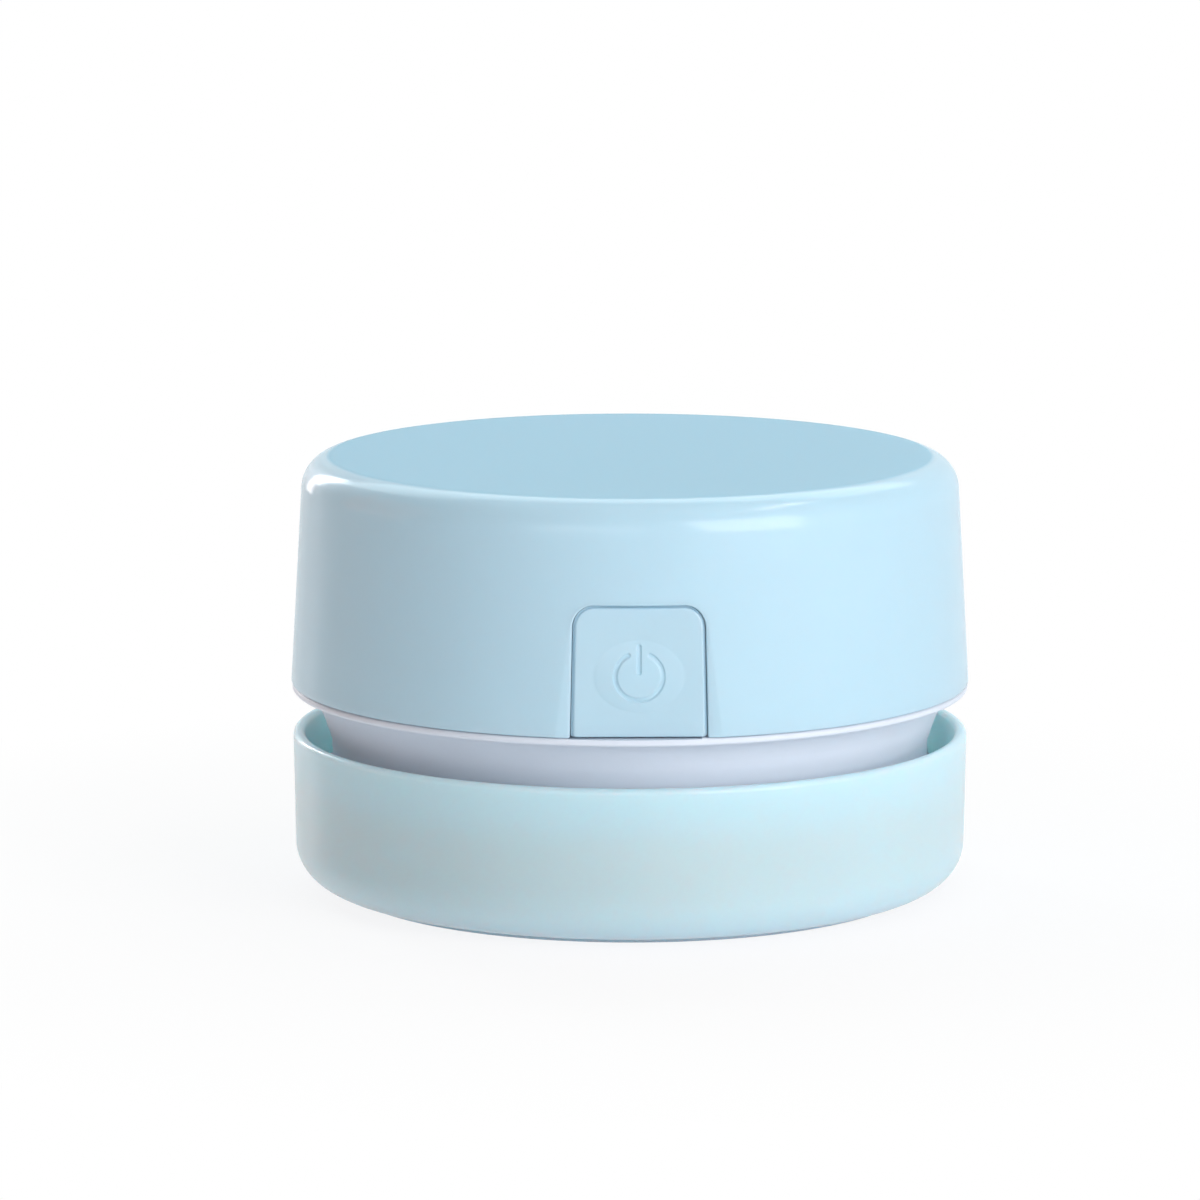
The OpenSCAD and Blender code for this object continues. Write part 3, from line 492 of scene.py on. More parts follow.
def tidy_mesh(mesh, sharp=30.0, weld=WELD):
    """Welds doubles, turns every face outwards and keeps edges above the angle crisp."""
    form = bmesh.new()
    form.from_mesh(mesh)
    bmesh.ops.remove_doubles(form, verts=form.verts, dist=weld)
    bmesh.ops.dissolve_degenerate(form, edges=form.edges, dist=weld / 10)
    bmesh.ops.recalc_face_normals(form, faces=form.faces)
    loose = sum(1 for edge in form.edges if not edge.is_manifold)
    form.to_mesh(mesh)
    form.free()
    for face in mesh.polygons:
        face.use_smooth = True
    mesh.set_sharp_from_angle(angle=math.radians(sharp))
    print(mesh.name, "has", loose, "loose edges")


# %% [markdown]
# A finished mesh says which body it rides on and which solids it stands for. Those solids stay in
# the model for touching and weighing, but the eye sees this mesh in their place.

# %% Putting a piece in its place
def show(name, mesh, body, slot, stands_for, finish=None):
    """Puts a finished mesh in the scene on its body, in the place of the solids it stands for."""
    piece = stand(name, mesh)
    mesh.materials.clear()
    mesh.materials.append(finishes[finish or slot])
    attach(piece, body)
    if stands_for:
        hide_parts(*stands_for)
    print(name, len(mesh.polygons), "faces")


# %% [markdown]
# ## Turned pieces
# The cup and the seal are bodies of revolution. A Screw modifier or Spin would turn a profile,
# but a small Geometry Nodes tree says the rule itself: take a grid, read its row from the
# profile's points and its column as an angle, and weld the seam. The cover is turned too, but
# for its flat front, so its points are laid out one by one later on.

# %% The turning rule
turn_rule, give, take = new_tree("turned", {"Segments": ("Int", 256), "Rows": ("Int", 8),
                                            "Finish": ("Material", None)})
lay, find, plus, less, times, over = tools(turn_rule)
grid = lay("GeometryNodeMeshGrid", 1.0, 1.0, plus(give["Segments"], 1.0), give["Rows"])
place = lay("GeometryNodeInputPosition").outputs[0]
split = lay("ShaderNodeSeparateXYZ", place).outputs
row = find("ROUND", times(plus(split["Y"], 0.5), less(give["Rows"], 1.0)))
angle = times(plus(split["X"], 0.5), math.tau)
pick = lay("GeometryNodeSampleIndex", data_type="FLOAT_VECTOR", domain="POINT",
           Geometry=give["Geometry"], Value=place, Index=row)
point = lay("ShaderNodeSeparateXYZ", pick.outputs[0]).outputs
spun = lay("ShaderNodeCombineXYZ", times(point["X"], find("SINE", angle)),
           times(point["X"], times(find("COSINE", angle), -1.0)), point["Z"])
moved = lay("GeometryNodeSetPosition", grid.outputs[0], None, spun.outputs[0])
welded = lay("GeometryNodeMergeByDistance", moved.outputs[0], Distance=WELD)
end_tree(turn_rule, welded.outputs[0], give, take)


def turned(name, profile, finish, segments):
    """A closed profile of (radius, height) in mm, turned round the drum's axis."""
    closed = list(profile) + [profile[0]]
    start = mesh_of(name, [(r, 0, z) for r, z in closed],
                    edges=[(i, i + 1) for i in range(len(closed) - 1)])
    made = run_tree(start, turn_rule, name, Segments=segments, Rows=len(closed),
                    Finish=finishes[finish])
    print(name, "turned from", len(profile), "points")
    return made


def arc(cx, cz, radius, start, end, count):
    """Points on an arc in the profile's plane, angles in degrees from the outward direction."""
    angles = [math.radians(start + (end - start) * i / count) for i in range(count + 1)]
    return [(cx + radius * math.cos(a), cz + radius * math.sin(a)) for a in angles]


def line(start, end, count):
    """Points between two, without the ends, so that long faces stay short enough to bend."""
    return [(start[0] + (end[0] - start[0]) * i / count, start[1] + (end[1] - start[1]) * i / count)
            for i in range(1, count)]


# %% [markdown]
# ### Copies
# Lugs, screws, bristle bars and contacts repeat. Array modifiers would do for even rows, but a
# tree that sets one mesh on points, each with its own turn, serves them all. The lugs then grow
# into the cup by a Boolean, so that no hidden wall shows through the thin plastic.

# %% The copying rule
copy_rule, give, take = new_tree("copies", {"Piece": ("Object", None),
                                            "Finish": ("Material", None)})
lay = partial(put, copy_rule)
bring = lay("GeometryNodeObjectInfo", Object=give["Piece"])
way = lay("GeometryNodeInputNamedAttribute", "turn", data_type="FLOAT_VECTOR")
spots = lay("GeometryNodeMeshToPoints", give["Geometry"])
laid = lay("GeometryNodeInstanceOnPoints", spots.outputs[0],
           Instance=bring.outputs["Geometry"], Rotation=way.outputs[0])
end_tree(copy_rule, laid.outputs[0], give, take)


def copies(name, master, spots, finish):
    """Copies of a mesh at (x, y, z) mm, each turned by (rx, ry, rz) degrees."""
    holder = bpy.data.objects.new(name + "_master", master)
    points = mesh_of(name, [spot[0] for spot in spots])
    turns = points.attributes.new("turn", "FLOAT_VECTOR", "POINT")
    for i, (_, angles) in enumerate(spots):
        turns.data[i].vector = [math.radians(a) for a in angles]
    made = run_tree(points, copy_rule, name, Piece=holder, Finish=finishes[finish])
    bpy.data.objects.remove(holder)
    print(name, "in", len(spots), "copies")
    return made


# %% Blocks and cuts
def block(name, place, soft, segments):
    """A cube whose corners a rule puts in place, in mm, with softened edges."""
    form = bmesh.new()
    bmesh.ops.create_cube(form, size=1.0)
    for corner in form.verts:
        corner.co = Vector(place(*corner.co)) * MM
    bmesh.ops.bevel(form, geom=form.edges[:], offset=soft * MM, segments=segments,
                    affect="EDGES", profile=0.5)
    return from_form(name, form)


def carved(name, mesh, tool, operation):
    """A mesh that is cut by another, or grown together with it."""
    carrier, other = stand(name + "_raw", mesh), stand(name + "_tool", tool)
    cut = carrier.modifiers.new("cut", "BOOLEAN")
    cut.operation, cut.object, cut.solver = operation, other, "EXACT"
    made = as_mesh(carrier)
    bpy.data.objects.remove(other)
    return made


# %% [markdown]
# ## Dust cup
# The cup is a shallow bowl with a thin, round lip, a wide round edge under its wall and a low
# foot ring. It could be modelled by hand and subdivided, but its rounds are true arcs, so it is
# turned from one profile. Four lugs inside carry the filter.

# %% Profile of the cup
CUP_R, CUP_H, CUP_WALL, CUP_DRAFT, CUP_EDGE = 42.5, 20.1, 1.5, math.radians(0.95), 5.4
FOOT_H, FOOT_T, FOOT_INSET, FOOT_SOFT = 0.6, 2.2, 0.3, 0.25
BOWL_Z, HOLLOW_Z, FLOOR_Z, FLOOR_T, HATCH_R = 2.2, 1.8, 3.4, 1.6, 22.2
HOLLOW_SOFT, FLOOR_SOFT, FLOOR_COVE, OVER_RIM = 0.15, 0.3, 0.4, 1.0
foot_r = CUP_R - CUP_EDGE - (CUP_H - FOOT_H) * math.tan(CUP_DRAFT) - FOOT_INSET
hollow_r = foot_r - FOOT_T
step_r = hollow_r + FLOOR_T


def leaning(r, h, bottom, draft, edge, count=16):
    """The round edge of a drum that leans by its draft, from the bottom outwards."""
    centre = r - (h - edge) * math.tan(draft) - edge / math.cos(draft)
    return arc(centre, bottom + edge, edge, -90, -math.degrees(draft), count)


lip_r = CUP_WALL / 2
outer = leaning(CUP_R, CUP_H - lip_r - FOOT_H, FOOT_H, CUP_DRAFT, CUP_EDGE)
inner = leaning(CUP_R - CUP_WALL + OVER_RIM * math.tan(CUP_DRAFT), CUP_H + OVER_RIM - BOWL_Z,
                BOWL_Z, CUP_DRAFT, CUP_EDGE - CUP_WALL)
rim = arc(CUP_R - lip_r, CUP_H - lip_r, lip_r, 0, 180, 16)
profile = ([(HATCH_R, HOLLOW_Z), (hollow_r - HOLLOW_SOFT, HOLLOW_Z),
            (hollow_r, HOLLOW_Z - HOLLOW_SOFT), (hollow_r, FOOT_SOFT)]
           + arc(hollow_r + FOOT_SOFT, FOOT_SOFT, FOOT_SOFT, 180, 270, 4)
           + arc(foot_r - FOOT_SOFT, FOOT_SOFT, FOOT_SOFT, -90, 0, 4) + [(foot_r, FOOT_H)]
           + outer + line(outer[-1], rim[0], 14) + rim + line(rim[-1], inner[-1], 14)
           + inner[::-1] + [(step_r + FLOOR_COVE, BOWL_Z), (step_r, BOWL_Z + FLOOR_COVE),
                            (step_r, FLOOR_Z - FLOOR_SOFT), (step_r - FLOOR_SOFT, FLOOR_Z),
                            (HATCH_R, FLOOR_Z)])
cup_shell = turned("cup_shell", profile, "cup_plastic", 360)

# %% Lugs, and the cup as one
LUG_W, LUG_TOP, LUG_REACH, LUG_BITE, LUG_SLANT, LUG_SOFT = 5.0, 10.8, 3.0, 0.5, 2.6, 0.35
wall_at_lug = CUP_R - CUP_WALL - (CUP_H - LUG_TOP) * math.tan(CUP_DRAFT)


def lug_corner(x, y, z):
    """A lug bites into wall and floor; its outer foot slants in, clear of the cup's edge."""
    out = LUG_BITE - (LUG_SLANT if z < 0 else 0) if x > 0 else -LUG_REACH
    return wall_at_lug + out, y * LUG_W, BOWL_Z - LUG_BITE if z < 0 else LUG_TOP


lugs = copies("lugs", block("lug", lug_corner, LUG_SOFT, 3),
              [((0, 0, 0), (0, 0, 45 + 90 * i)) for i in range(4)], "cup_plastic")
tidy_mesh(cup_shell)
tidy_mesh(lugs)
cup = carved("cup", cup_shell, lugs, "UNION")
tidy_mesh(cup)

# %% [markdown]
# The inside of the cup wears the painted glow, a lighter, greener colour for the light that
# bounces in the bowl, and so does its floor. Marking by place would catch the round lip with a
# hard line; marking by where the surface faces fades over it.

# %% Painted glow inside the cup
def mark_painted_light(mesh, rule):
    """Stores on each point how much it wears its finish's painted light and duller gloss, from
    place and normal.
    """
    marks = mesh.attributes.new("painted_light_and_matt", "FLOAT", "POINT")
    for corner, mark in zip(mesh.vertices, marks.data):
        mark.value = min(1.0, max(0.0, rule(corner.co, corner.normal)))


FLOOR_BELOW = 15 * MM
mark_painted_light(cup, lambda at, way: max(-(at.x * way.x + at.y * way.y) / math.hypot(at.x, at.y),
                                     way.z if at.z < FLOOR_BELOW else 0.0))
show("cup_body", cup, "cup", "cup_plastic", ["dust_cup"])

# %% [markdown]
# ## The flat of the cover, and the power key in it
# The key sits in a flat that is sliced off the cone of the cover, so the flat's edges run
# apart towards the bottom. Both pieces share one small frame: x to the right, v up the flat and
# w outwards. The key is a web of loops: round ones over its dome, fine enough to carve the
# sign, which then relax into the key's own outline and wrap round its edge to the back.

# %% Frame and outline of the key
FLAT_Y, FLAT_R, COVER_Z, LEAN = 41.5, 42, 26.3, math.radians(1.75)
KEY_W, KEY_H, KEY_LOW, KEY_CORNER, SIGN_V = 16.0, 15.75, 0.05, 2.4, 7.4
KEY_T, FLAT_T, KEY_LIP, FACE_T = 2.9, 1.9, 1.2, 1.4
NARROWING = 0.042


def on_flat(x, v, w):
    """A point of the flat's frame, in the drum's frame, in mm."""
    return (x, -FLAT_Y + v * math.sin(LEAN) - w * math.cos(LEAN),
            COVER_Z + v * math.cos(LEAN) + w * math.sin(LEAN))


def narrowed(x, v):
    """The key is a little narrower at its top than at its foot."""
    return x * (1 - NARROWING * v / KEY_H)


def key_outline(grow, low, foot=0.35, count=40):
    """The key's outline as dense points, grown all round, from its lower right corner up."""
    half, top, corner = KEY_W / 2 + grow, KEY_H + grow, KEY_CORNER + grow
    path = (arc(half - foot, low + foot, foot, -90, 0, count)
            + arc(half - corner, top - corner, corner, 0, 90, count)
            + arc(corner - half, top - corner, corner, 90, 180, count)
            + arc(foot - half, low + foot, foot, 180, 270, count))
    return np.array([(narrowed(x, v), v) for x, v in path])


def ray_loop(outline, angles):
    """How far the outline lies from the middle of the sign, in each direction."""
    offset = outline - [0, SIGN_V]
    fine = np.linspace(0, 1, 40, endpoint=False)
    dense = []
    for i in range(len(outline)):
        a, b = offset[i], offset[(i + 1) % len(outline)]
        dense += [a + (b - a) * f for f in fine]
    dense = np.array(dense)
    turns = np.arctan2(dense[:, 1], dense[:, 0])
    order = np.argsort(turns)
    reach = np.hypot(dense[:, 0], dense[:, 1])[order]
    return np.interp(angles, turns[order], reach, period=math.tau)


# %% [markdown]
# ### The sign
# The power sign is a groove, pressed in a low oval dome. An image or a Boolean with a text would
# be quicker, but its edge would be torn or flat. A distance does it cleanly: every point knows
# how far it is from the nearest stroke, and sinks by a smooth step.

# %% The engraved sign
SIGN_R, STROKE, SIGN_DEPTH, GAP_HALF = 2.88, 0.23, 0.2, math.radians(27)
BAR_FOOT, BAR_TOP, GROOVE_SIDE, GROOVE_OUT = 0.5, 3.6, 0.22, 0.12
DOME_R, DOME_FLAT, DOME_H, DOME_FULLNESS = 5.45, 0.8, 0.36, 0.8


def sign_distance(x, y):
    """How far a point of the dome lies from the middle of the nearest stroke: ring or bar."""
    ring = np.abs(np.hypot(x, y) - SIGN_R)
    tip_x, tip_y = SIGN_R * math.sin(GAP_HALF), SIGN_R * math.cos(GAP_HALF)
    tips = np.hypot(np.abs(x) - tip_x, y - tip_y)
    ring = np.where(np.abs(np.arctan2(x, y)) < GAP_HALF, tips, ring)
    bar = np.hypot(x, y - np.clip(y, BAR_FOOT, BAR_TOP))
    return np.minimum(ring, bar)


def dome_height(x, y):
    """The low oval dome that guides the fingertip, less the groove of the sign."""
    rise = np.clip(1 - (x / DOME_R) ** 2 - (y / DOME_R / DOME_FLAT) ** 2, 0, 1)
    sunk = np.clip((STROKE + GROOVE_OUT - sign_distance(x, y)) / GROOVE_SIDE, 0, 1)
    return DOME_H * rise ** DOME_FULLNESS - SIGN_DEPTH * sunk * sunk * (3 - 2 * sunk)


# %% [markdown]
# ### The key as loops
# From the dome outwards each loop changes from a circle to the key's outline, then goes over the
# soft edge, down the side to the skirt in the slot, round the hidden lip, and back inside to the
# post that presses the switch. Subdividing a block would need far more faces for so fine a sign.

# %% Loops of the key
COUNT, DOME_LOOPS, MARGIN, INNERMOST = 288, 64, 0.06, 0.08
SOFT, SOFT_LOW, FLAT_CORNER = 0.32, 0.08, 0.15
SIDE_DROP, SKIRT_OUT, SKIRT_DROP, LIP_STEP = 0.38, 0.2, 0.42, 0.02
angles = np.linspace(-math.pi, math.pi, COUNT, endpoint=False)
cos_a, sin_a = np.cos(angles), np.sin(angles)
loops = []


def add_loop(distance, w):
    """One loop at a distance from the sign's middle in each direction, at a height w."""
    x, y = distance * cos_a, distance * sin_a
    loops.append([on_flat(x[i], SIGN_V + y[i], w[i] if np.ndim(w) else w)
                  for i in range(COUNT)])


for r in np.linspace(INNERMOST, DOME_R - MARGIN, DOME_LOOPS):
    add_loop(np.full(COUNT, r), dome_height(r * cos_a, r * sin_a))
flat_edge = ray_loop(key_outline(-SOFT, KEY_LOW + SOFT_LOW, FLAT_CORNER), angles)
for share in np.linspace(0, 1, 9):
    add_loop((DOME_R + 2 * MARGIN) * (1 - share) + flat_edge * share, 0.0)
for bend in np.radians(np.linspace(12, 90, 7)):
    inset = 1 - math.sin(bend)
    edge = ray_loop(key_outline(-inset * SOFT, KEY_LOW + inset * SOFT_LOW), angles)
    add_loop(edge, -SOFT * (1 - math.cos(bend)))
side, skirt, lip = (ray_loop(key_outline(grow, KEY_LOW), angles)
                    for grow in (0, SKIRT_OUT, KEY_LIP))
pocket = ray_loop(key_outline(-FACE_T, KEY_LOW + FACE_T), angles)
for distance, w in ((side, -SIDE_DROP), (skirt, -SKIRT_DROP), (skirt, -FLAT_T),
                    (lip, -FLAT_T - LIP_STEP), (lip, -KEY_T), (pocket, -KEY_T), (pocket, -FACE_T)):
    add_loop(distance, w)

# %% Power key
POST_Y, POST_V, POST_R = 38.0, 8.05, 2.2
post_z = COVER_Z + POST_V * math.cos(LEAN)
loops.append([on_flat(POST_R * c, POST_V + POST_R * s, -FACE_T) for c, s in zip(cos_a, sin_a)])
loops.append([(POST_R * c, -POST_Y, post_z + POST_R * s) for c, s in zip(cos_a, sin_a)])
points = [p for loop in loops for p in loop]
front, rear = len(points), len(points) + 1
points += [on_flat(0, SIGN_V, float(dome_height(np.float64(0), np.float64(0)))),
           (0, -POST_Y, post_z)]
rings = [range(k * COUNT, (k + 1) * COUNT) for k in range(len(loops))]
key = mesh_of("key", points, bridge(rings, ring=True) + cap(front, rings[0][::-1])
              + cap(rear, rings[-1]))
tidy_mesh(key, sharp=40, weld=FINE_WELD)
show("power_key_face", key, "key", "key_plastic", ["power_key"])

# %% [markdown]
# ## Top cover
# The cover is a cone with a round shoulder, and its front is sliced flat for the key. Cutting
# the slice with a Boolean would leave torn triangles along a line that the light runs over, so
# the skin is laid out on purpose: turned rows everywhere, and round the slot a patch of rows
# that follow first the slot, then the crease of the flat, and last meet the turned rows.

# %% Cover sizes and its two skins
COVER_R, COVER_WALL, COVER_EDGE, COVER_DRAFT = 42.7, 2.0, 4.1, math.radians(3.3)
TOP_Z, WALL_TOP, KEY_GAP, SOFT_FOOT = 54.8, 50.6, 0.3, 0.15
SHOULDER_V = KEY_H - KEY_CORNER
COLUMNS, PATCH, PATCH_ROWS, FOOT_ROWS, EDGE_STEPS, WALL_ROWS = 600, 30, 24, 2, 22, 30
TOP_RINGS = (2, 5, 9, 14, 20, 27, 33)
shoulder_r = (COVER_R - (TOP_Z - COVER_Z - COVER_EDGE) * math.tan(COVER_DRAFT)
              - COVER_EDGE / math.cos(COVER_DRAFT))
wall_z = np.linspace(WALL_TOP, COVER_Z + SOFT_FOOT, WALL_ROWS)


def cover_rows(set_in):
    """The skin's profile, from the middle of the top to the lower edge, set in by the wall."""
    rows = [(r, TOP_Z - set_in) for r in TOP_RINGS]
    rows += arc(shoulder_r, TOP_Z - COVER_EDGE, COVER_EDGE - set_in, 90,
                math.degrees(COVER_DRAFT), EDGE_STEPS)
    rows += [(COVER_R - set_in - (z - COVER_Z) * math.tan(COVER_DRAFT), z) for z in wall_z]
    way = 1 if set_in else -1
    foot = COVER_R - set_in + way * SOFT_FOOT
    rows += [(foot - way * SOFT_FOOT * math.cos(a), COVER_Z + SOFT_FOOT * (1 - math.sin(a)))
             for a in (math.radians(45), math.radians(90))]
    return np.array(rows)


LAST = len(cover_rows(0)) - 1
TOP_ROW = LAST - FOOT_ROWS - PATCH_ROWS
print("cover rows", LAST + 1, "patch from row", TOP_ROW, "at z", cover_rows(0)[TOP_ROW, 1])

# %% [markdown]
# ### The flat and the slot
# Any point of the cone that stands out of the flat is pressed back onto it, with a short smooth
# step at the crease. The slot's outline is then followed in the skin's own two directions, the
# bearing and the row, so that rows of points can run between slot, crease and cone.

# %% The flat, and the path of the slot
FRONT, CREASE_SOFT, OUTER_OVER, INNER_OVER, FLAT_LEVEL = 0.5, 0.04, 0.15, 5.0, 0.3
CORNER_STEPS, ROWS_ABOVE = 15, 12


def skin_point(rows, bearing, k, deepest):
    """A point of the skin at a bearing and a row, pressed back to the flat where it stands out."""
    r = np.interp(k, np.arange(len(rows)), rows[:, 0])
    z = np.interp(k, np.arange(len(rows)), rows[:, 1])
    x, y = r * math.sin(bearing), -r * math.cos(bearing)
    w = -(y + FLAT_Y) * math.cos(LEAN) + (z - COVER_Z) * math.sin(LEAN)
    v = (y + FLAT_Y) * math.sin(LEAN) + (z - COVER_Z) * math.cos(LEAN)
    limit = SHOULDER_V + (OUTER_OVER if deepest == 0 else INNER_OVER)
    over = w - deepest
    if abs(bearing) < FRONT and v < limit and over > -CREASE_SOFT:
        back = over if over > CREASE_SOFT else (over + CREASE_SOFT) ** 2 / (4 * CREASE_SOFT)
        y += back * math.cos(LEAN)
        z -= back * math.sin(LEAN) * (v > FLAT_LEVEL)
    return (x, y, z)


def patch_path(rows, grow, crease=False):
    """(bearing, row) along the slot's outline, up its left side, over and down the right one."""
    half, top, corner = KEY_W / 2 + grow, KEY_H + grow, KEY_CORNER + grow
    left = []
    for k in range(LAST, TOP_ROW, -1):
        share = max(0.0, (LAST - FOOT_ROWS - k) / PATCH_ROWS)
        z = rows[k, 1] if k > LAST - FOOT_ROWS else COVER_Z + SOFT_FOOT + share * (
            (top - corner) * math.cos(LEAN) - SOFT_FOOT)
        left.append((-half, z))
    over = [(x, COVER_Z + v * math.cos(LEAN)) for x, v in
            arc(corner - half, top - corner, corner, 180, 90, CORNER_STEPS)
            + line((corner - half, top), (half - corner, top), 2 * (PATCH - CORNER_STEPS))
            + arc(half - corner, top - corner, corner, 90, 0, CORNER_STEPS)]
    right = [(-x, z) for x, z in left[::-1]]
    steps, first, found = np.arange(len(rows)), TOP_ROW - ROWS_ABOVE, []
    for x, z in left + over + right:
        x = narrowed(x, z - COVER_Z)
        k = float(np.interp(-z, -rows[first:, 1], steps[first:]))
        r = float(np.interp(k, steps, rows[:, 0]))
        if crease and z < COVER_Z + SHOULDER_V:
            plane = FLAT_Y - (z - COVER_Z) * math.tan(LEAN)
            meet = math.sqrt(max(0, r * r - plane * plane))
            x = math.copysign(max(abs(x), meet), x)
        found.append((math.asin(x / r), k))
    return np.array(found)


# %% [markdown]
# ### Two skins, one cover
# One rule lays out the outer and the inner skin, so that their points match one to one. A
# Solidify modifier gives one thickness, and the wall behind the flat has its own. The skins are
# then bridged at the foot and round the slot, where three short rows round its edge.

# %% Laying out one skin
SLOT_SOFT, CREASE_OUT, CREASE_LINE, LINE_LEAST, PER_ROW = 0.2, 0.5, 0.14, 0.3, 0.85
TO_CREASE = (0.0, 0.35, 0.65)
TO_TURNED = (0.0, 0.035, 0.1, 0.18, 0.27, 0.37, 0.48, 0.6, 0.73, 0.86)


def turned_part(rows, deepest):
    """Turned points and faces, but for the patch, and the numbers of the points by row, column."""
    points, faces, number = [(0, 0, rows[0, 1])], [], {}
    for k in range(LAST + 1):
        for i in range(COLUMNS):
            bearing = i if i <= COLUMNS // 2 else i - COLUMNS
            if abs(bearing) >= PATCH or k <= TOP_ROW:
                number[k, i] = len(points)
                points.append(skin_point(rows, math.tau * bearing / COLUMNS, k, deepest))
    faces += cap(0, [number[0, i] for i in range(COLUMNS)])
    for k in range(LAST):
        for i in range(COLUMNS):
            if k < TOP_ROW or PATCH <= i < COLUMNS - PATCH:
                n = (i + 1) % COLUMNS
                faces.append((number[k, i], number[k + 1, i], number[k + 1, n], number[k, n]))
    return points, faces, number


def cover_skin(set_in):
    """Points, faces and the open edges of one skin: its foot ring and the lines of the patch."""
    rows = cover_rows(set_in)
    deepest = -FLAT_T if set_in else 0.0
    points, faces, number = turned_part(rows, deepest)
    rise, fall = range(LAST, TOP_ROW, -1), range(TOP_ROW + 1, LAST + 1)
    border = ([(-PATCH, k) for k in rise] + [(i, TOP_ROW) for i in range(-PATCH, PATCH + 1)]
              + [(PATCH, k) for k in fall])
    outer_path = np.array(border, float) * (math.tau / COLUMNS, 1)
    slot = patch_path(rows, KEY_GAP if set_in else KEY_GAP + SLOT_SOFT)
    crease = patch_path(rows, KEY_GAP + CREASE_OUT, crease=True)
    apart = crease - slot
    near = 1 - CREASE_LINE / np.maximum(LINE_LEAST, np.hypot(apart[:, 0] * FLAT_R,
                                                             apart[:, 1] * PER_ROW))
    stages = [slot + apart * f for f in TO_CREASE] + [slot + apart * near[:, None]]
    stages += [crease + (outer_path - crease) * f for f in TO_TURNED]
    lines = []
    for stage in stages:
        lines.append(range(len(points), len(points) + len(stage)))
        points += [skin_point(rows, bearing, k, deepest) for bearing, k in stage]
    lines.append([number[k, i % COLUMNS] for i, k in border])
    foot = [number[LAST, i] for i in range(PATCH, COLUMNS - PATCH + 1)]
    return points, faces + bridge(lines), foot, lines


# %% Joining the skins
points, faces, outer_foot, outer_lines = cover_skin(0)
inner_points, inner_faces, inner_foot, inner_lines = cover_skin(COVER_WALL)
shift = len(points)
points += inner_points
faces += [[i + shift for i in f] for f in inner_faces]
inner_lines = [[i + shift for i in ids] for ids in inner_lines]
faces += bridge([outer_foot, [i + shift for i in inner_foot]])
rows, rim_lines = cover_rows(0), [outer_lines[0]]
for bend in np.radians((30, 60, 90)):
    path = patch_path(rows, KEY_GAP + SLOT_SOFT * (1 - math.sin(bend)))
    rim_lines.append(range(len(points), len(points) + len(path)))
    for bearing, k in path:
        x, y, z = skin_point(rows, bearing, k, 0.0)
        points.append((x, y + SLOT_SOFT * (1 - math.cos(bend)), z))
rim_lines.append(inner_lines[0])
faces += bridge(rim_lines)
for end in (0, -1):
    for j in range(len(outer_lines) - 1):
        faces.append([outer_lines[j][end], outer_lines[j + 1][end],
                      inner_lines[j + 1][end], inner_lines[j][end]])
    faces.append([ids[end] for ids in rim_lines])
cover = mesh_of("cover", points, faces)
tidy_mesh(cover, sharp=38, weld=FINE_WELD)

# %% [markdown]
# ### Charging socket
# The socket lies behind a slot with round ends in the back of the cover. The wall there is a
# plain cone, so a Boolean cuts it cleanly. The top of the cover then gets its matt finish and a
# slightly darker painted shade, where the surface faces nearly straight up.

# %% The hole for the charging socket
SOCKET_W, SOCKET_H, SOCKET_Z, SOCKET_ROOM, CUT_FROM, CUT_TO = 9.0, 3.26, 31.28, 0.6, 36.0, 46.0
FACES_UP, FADE, TOP_ABOVE = 0.965, 40, 50 * MM


def stadium(width, height, count=24):
    """A slot with round ends, as (x, z) round its middle."""
    r, x = height / 2, (width - height) / 2
    return arc(x, 0, r, -90, 90, count) + arc(-x, 0, r, 90, 270, count)


ring = stadium(SOCKET_W + SOCKET_ROOM, SOCKET_H + SOCKET_ROOM)
near, far = range(len(ring)), range(len(ring), 2 * len(ring))
cutter = mesh_of("socket_cut", [(x, y, SOCKET_Z + z) for y in (CUT_FROM, CUT_TO) for x, z in ring],
                 [near[::-1], far] + bridge([near, far], ring=True))
tidy_mesh(cutter)
cover = carved("cover", cover, cutter, "DIFFERENCE")
tidy_mesh(cover, sharp=38, weld=FINE_WELD)
mark_painted_light(cover, lambda at, way: (way.z - FACES_UP) * FADE if at.z > TOP_ABOVE else 0.0)
show("cover_shell", cover, "head", "cover_plastic", ["top_cover"])

# %% [markdown]
# ## The neck of the white frame
# Seen through the slot, the neck widens towards the ring like the foot of a cup. The solid has
# a plain cove there. Modelling the whole frame anew would be a waste for one curve, so a copy of
# its mesh is welded, cut into level rows, and each row of the neck is drawn out to the flare.

# %% Flared neck
FLARE_FROM, RING_Z, NECK_R, FLARE_R, CUT_STEP, EDGE_ROOM = 18.9, 25.3, 37.6, 40.4, 0.4, 0.02
SLOPE, CURL, CURL_FROM, CURL_RUN = 0.34, 0.6, 22, 3.3


def flare(z):
    """The neck's radius at a height, in mm."""
    return (NECK_R + SLOPE * (z - FLARE_FROM)
            + CURL * max(0.0, (z - CURL_FROM) / CURL_RUN) ** 2)


neck_form = bmesh.new()
neck_form.from_mesh(nodes["mid_frame"].data)
bmesh.ops.remove_doubles(neck_form, verts=neck_form.verts, dist=WELD)
for level in np.arange(FLARE_FROM, RING_Z - 0.2, CUT_STEP):
    everything = neck_form.verts[:] + neck_form.edges[:] + neck_form.faces[:]
    bmesh.ops.bisect_plane(neck_form, geom=everything, dist=FINE_WELD,
                           plane_co=(0, 0, float(level) * MM), plane_no=(0, 0, 1))
drawn = 0
for corner in neck_form.verts:
    x, y, z = (c / MM for c in corner.co)
    r = math.hypot(x, y)
    if NECK_R - 0.1 < r < FLARE_R - EDGE_ROOM and FLARE_FROM < z < RING_Z - EDGE_ROOM:
        wide = max(r, flare(z)) / r
        corner.co.x, corner.co.y = corner.co.x * wide, corner.co.y * wide
        drawn += 1
print("neck points drawn out:", drawn)
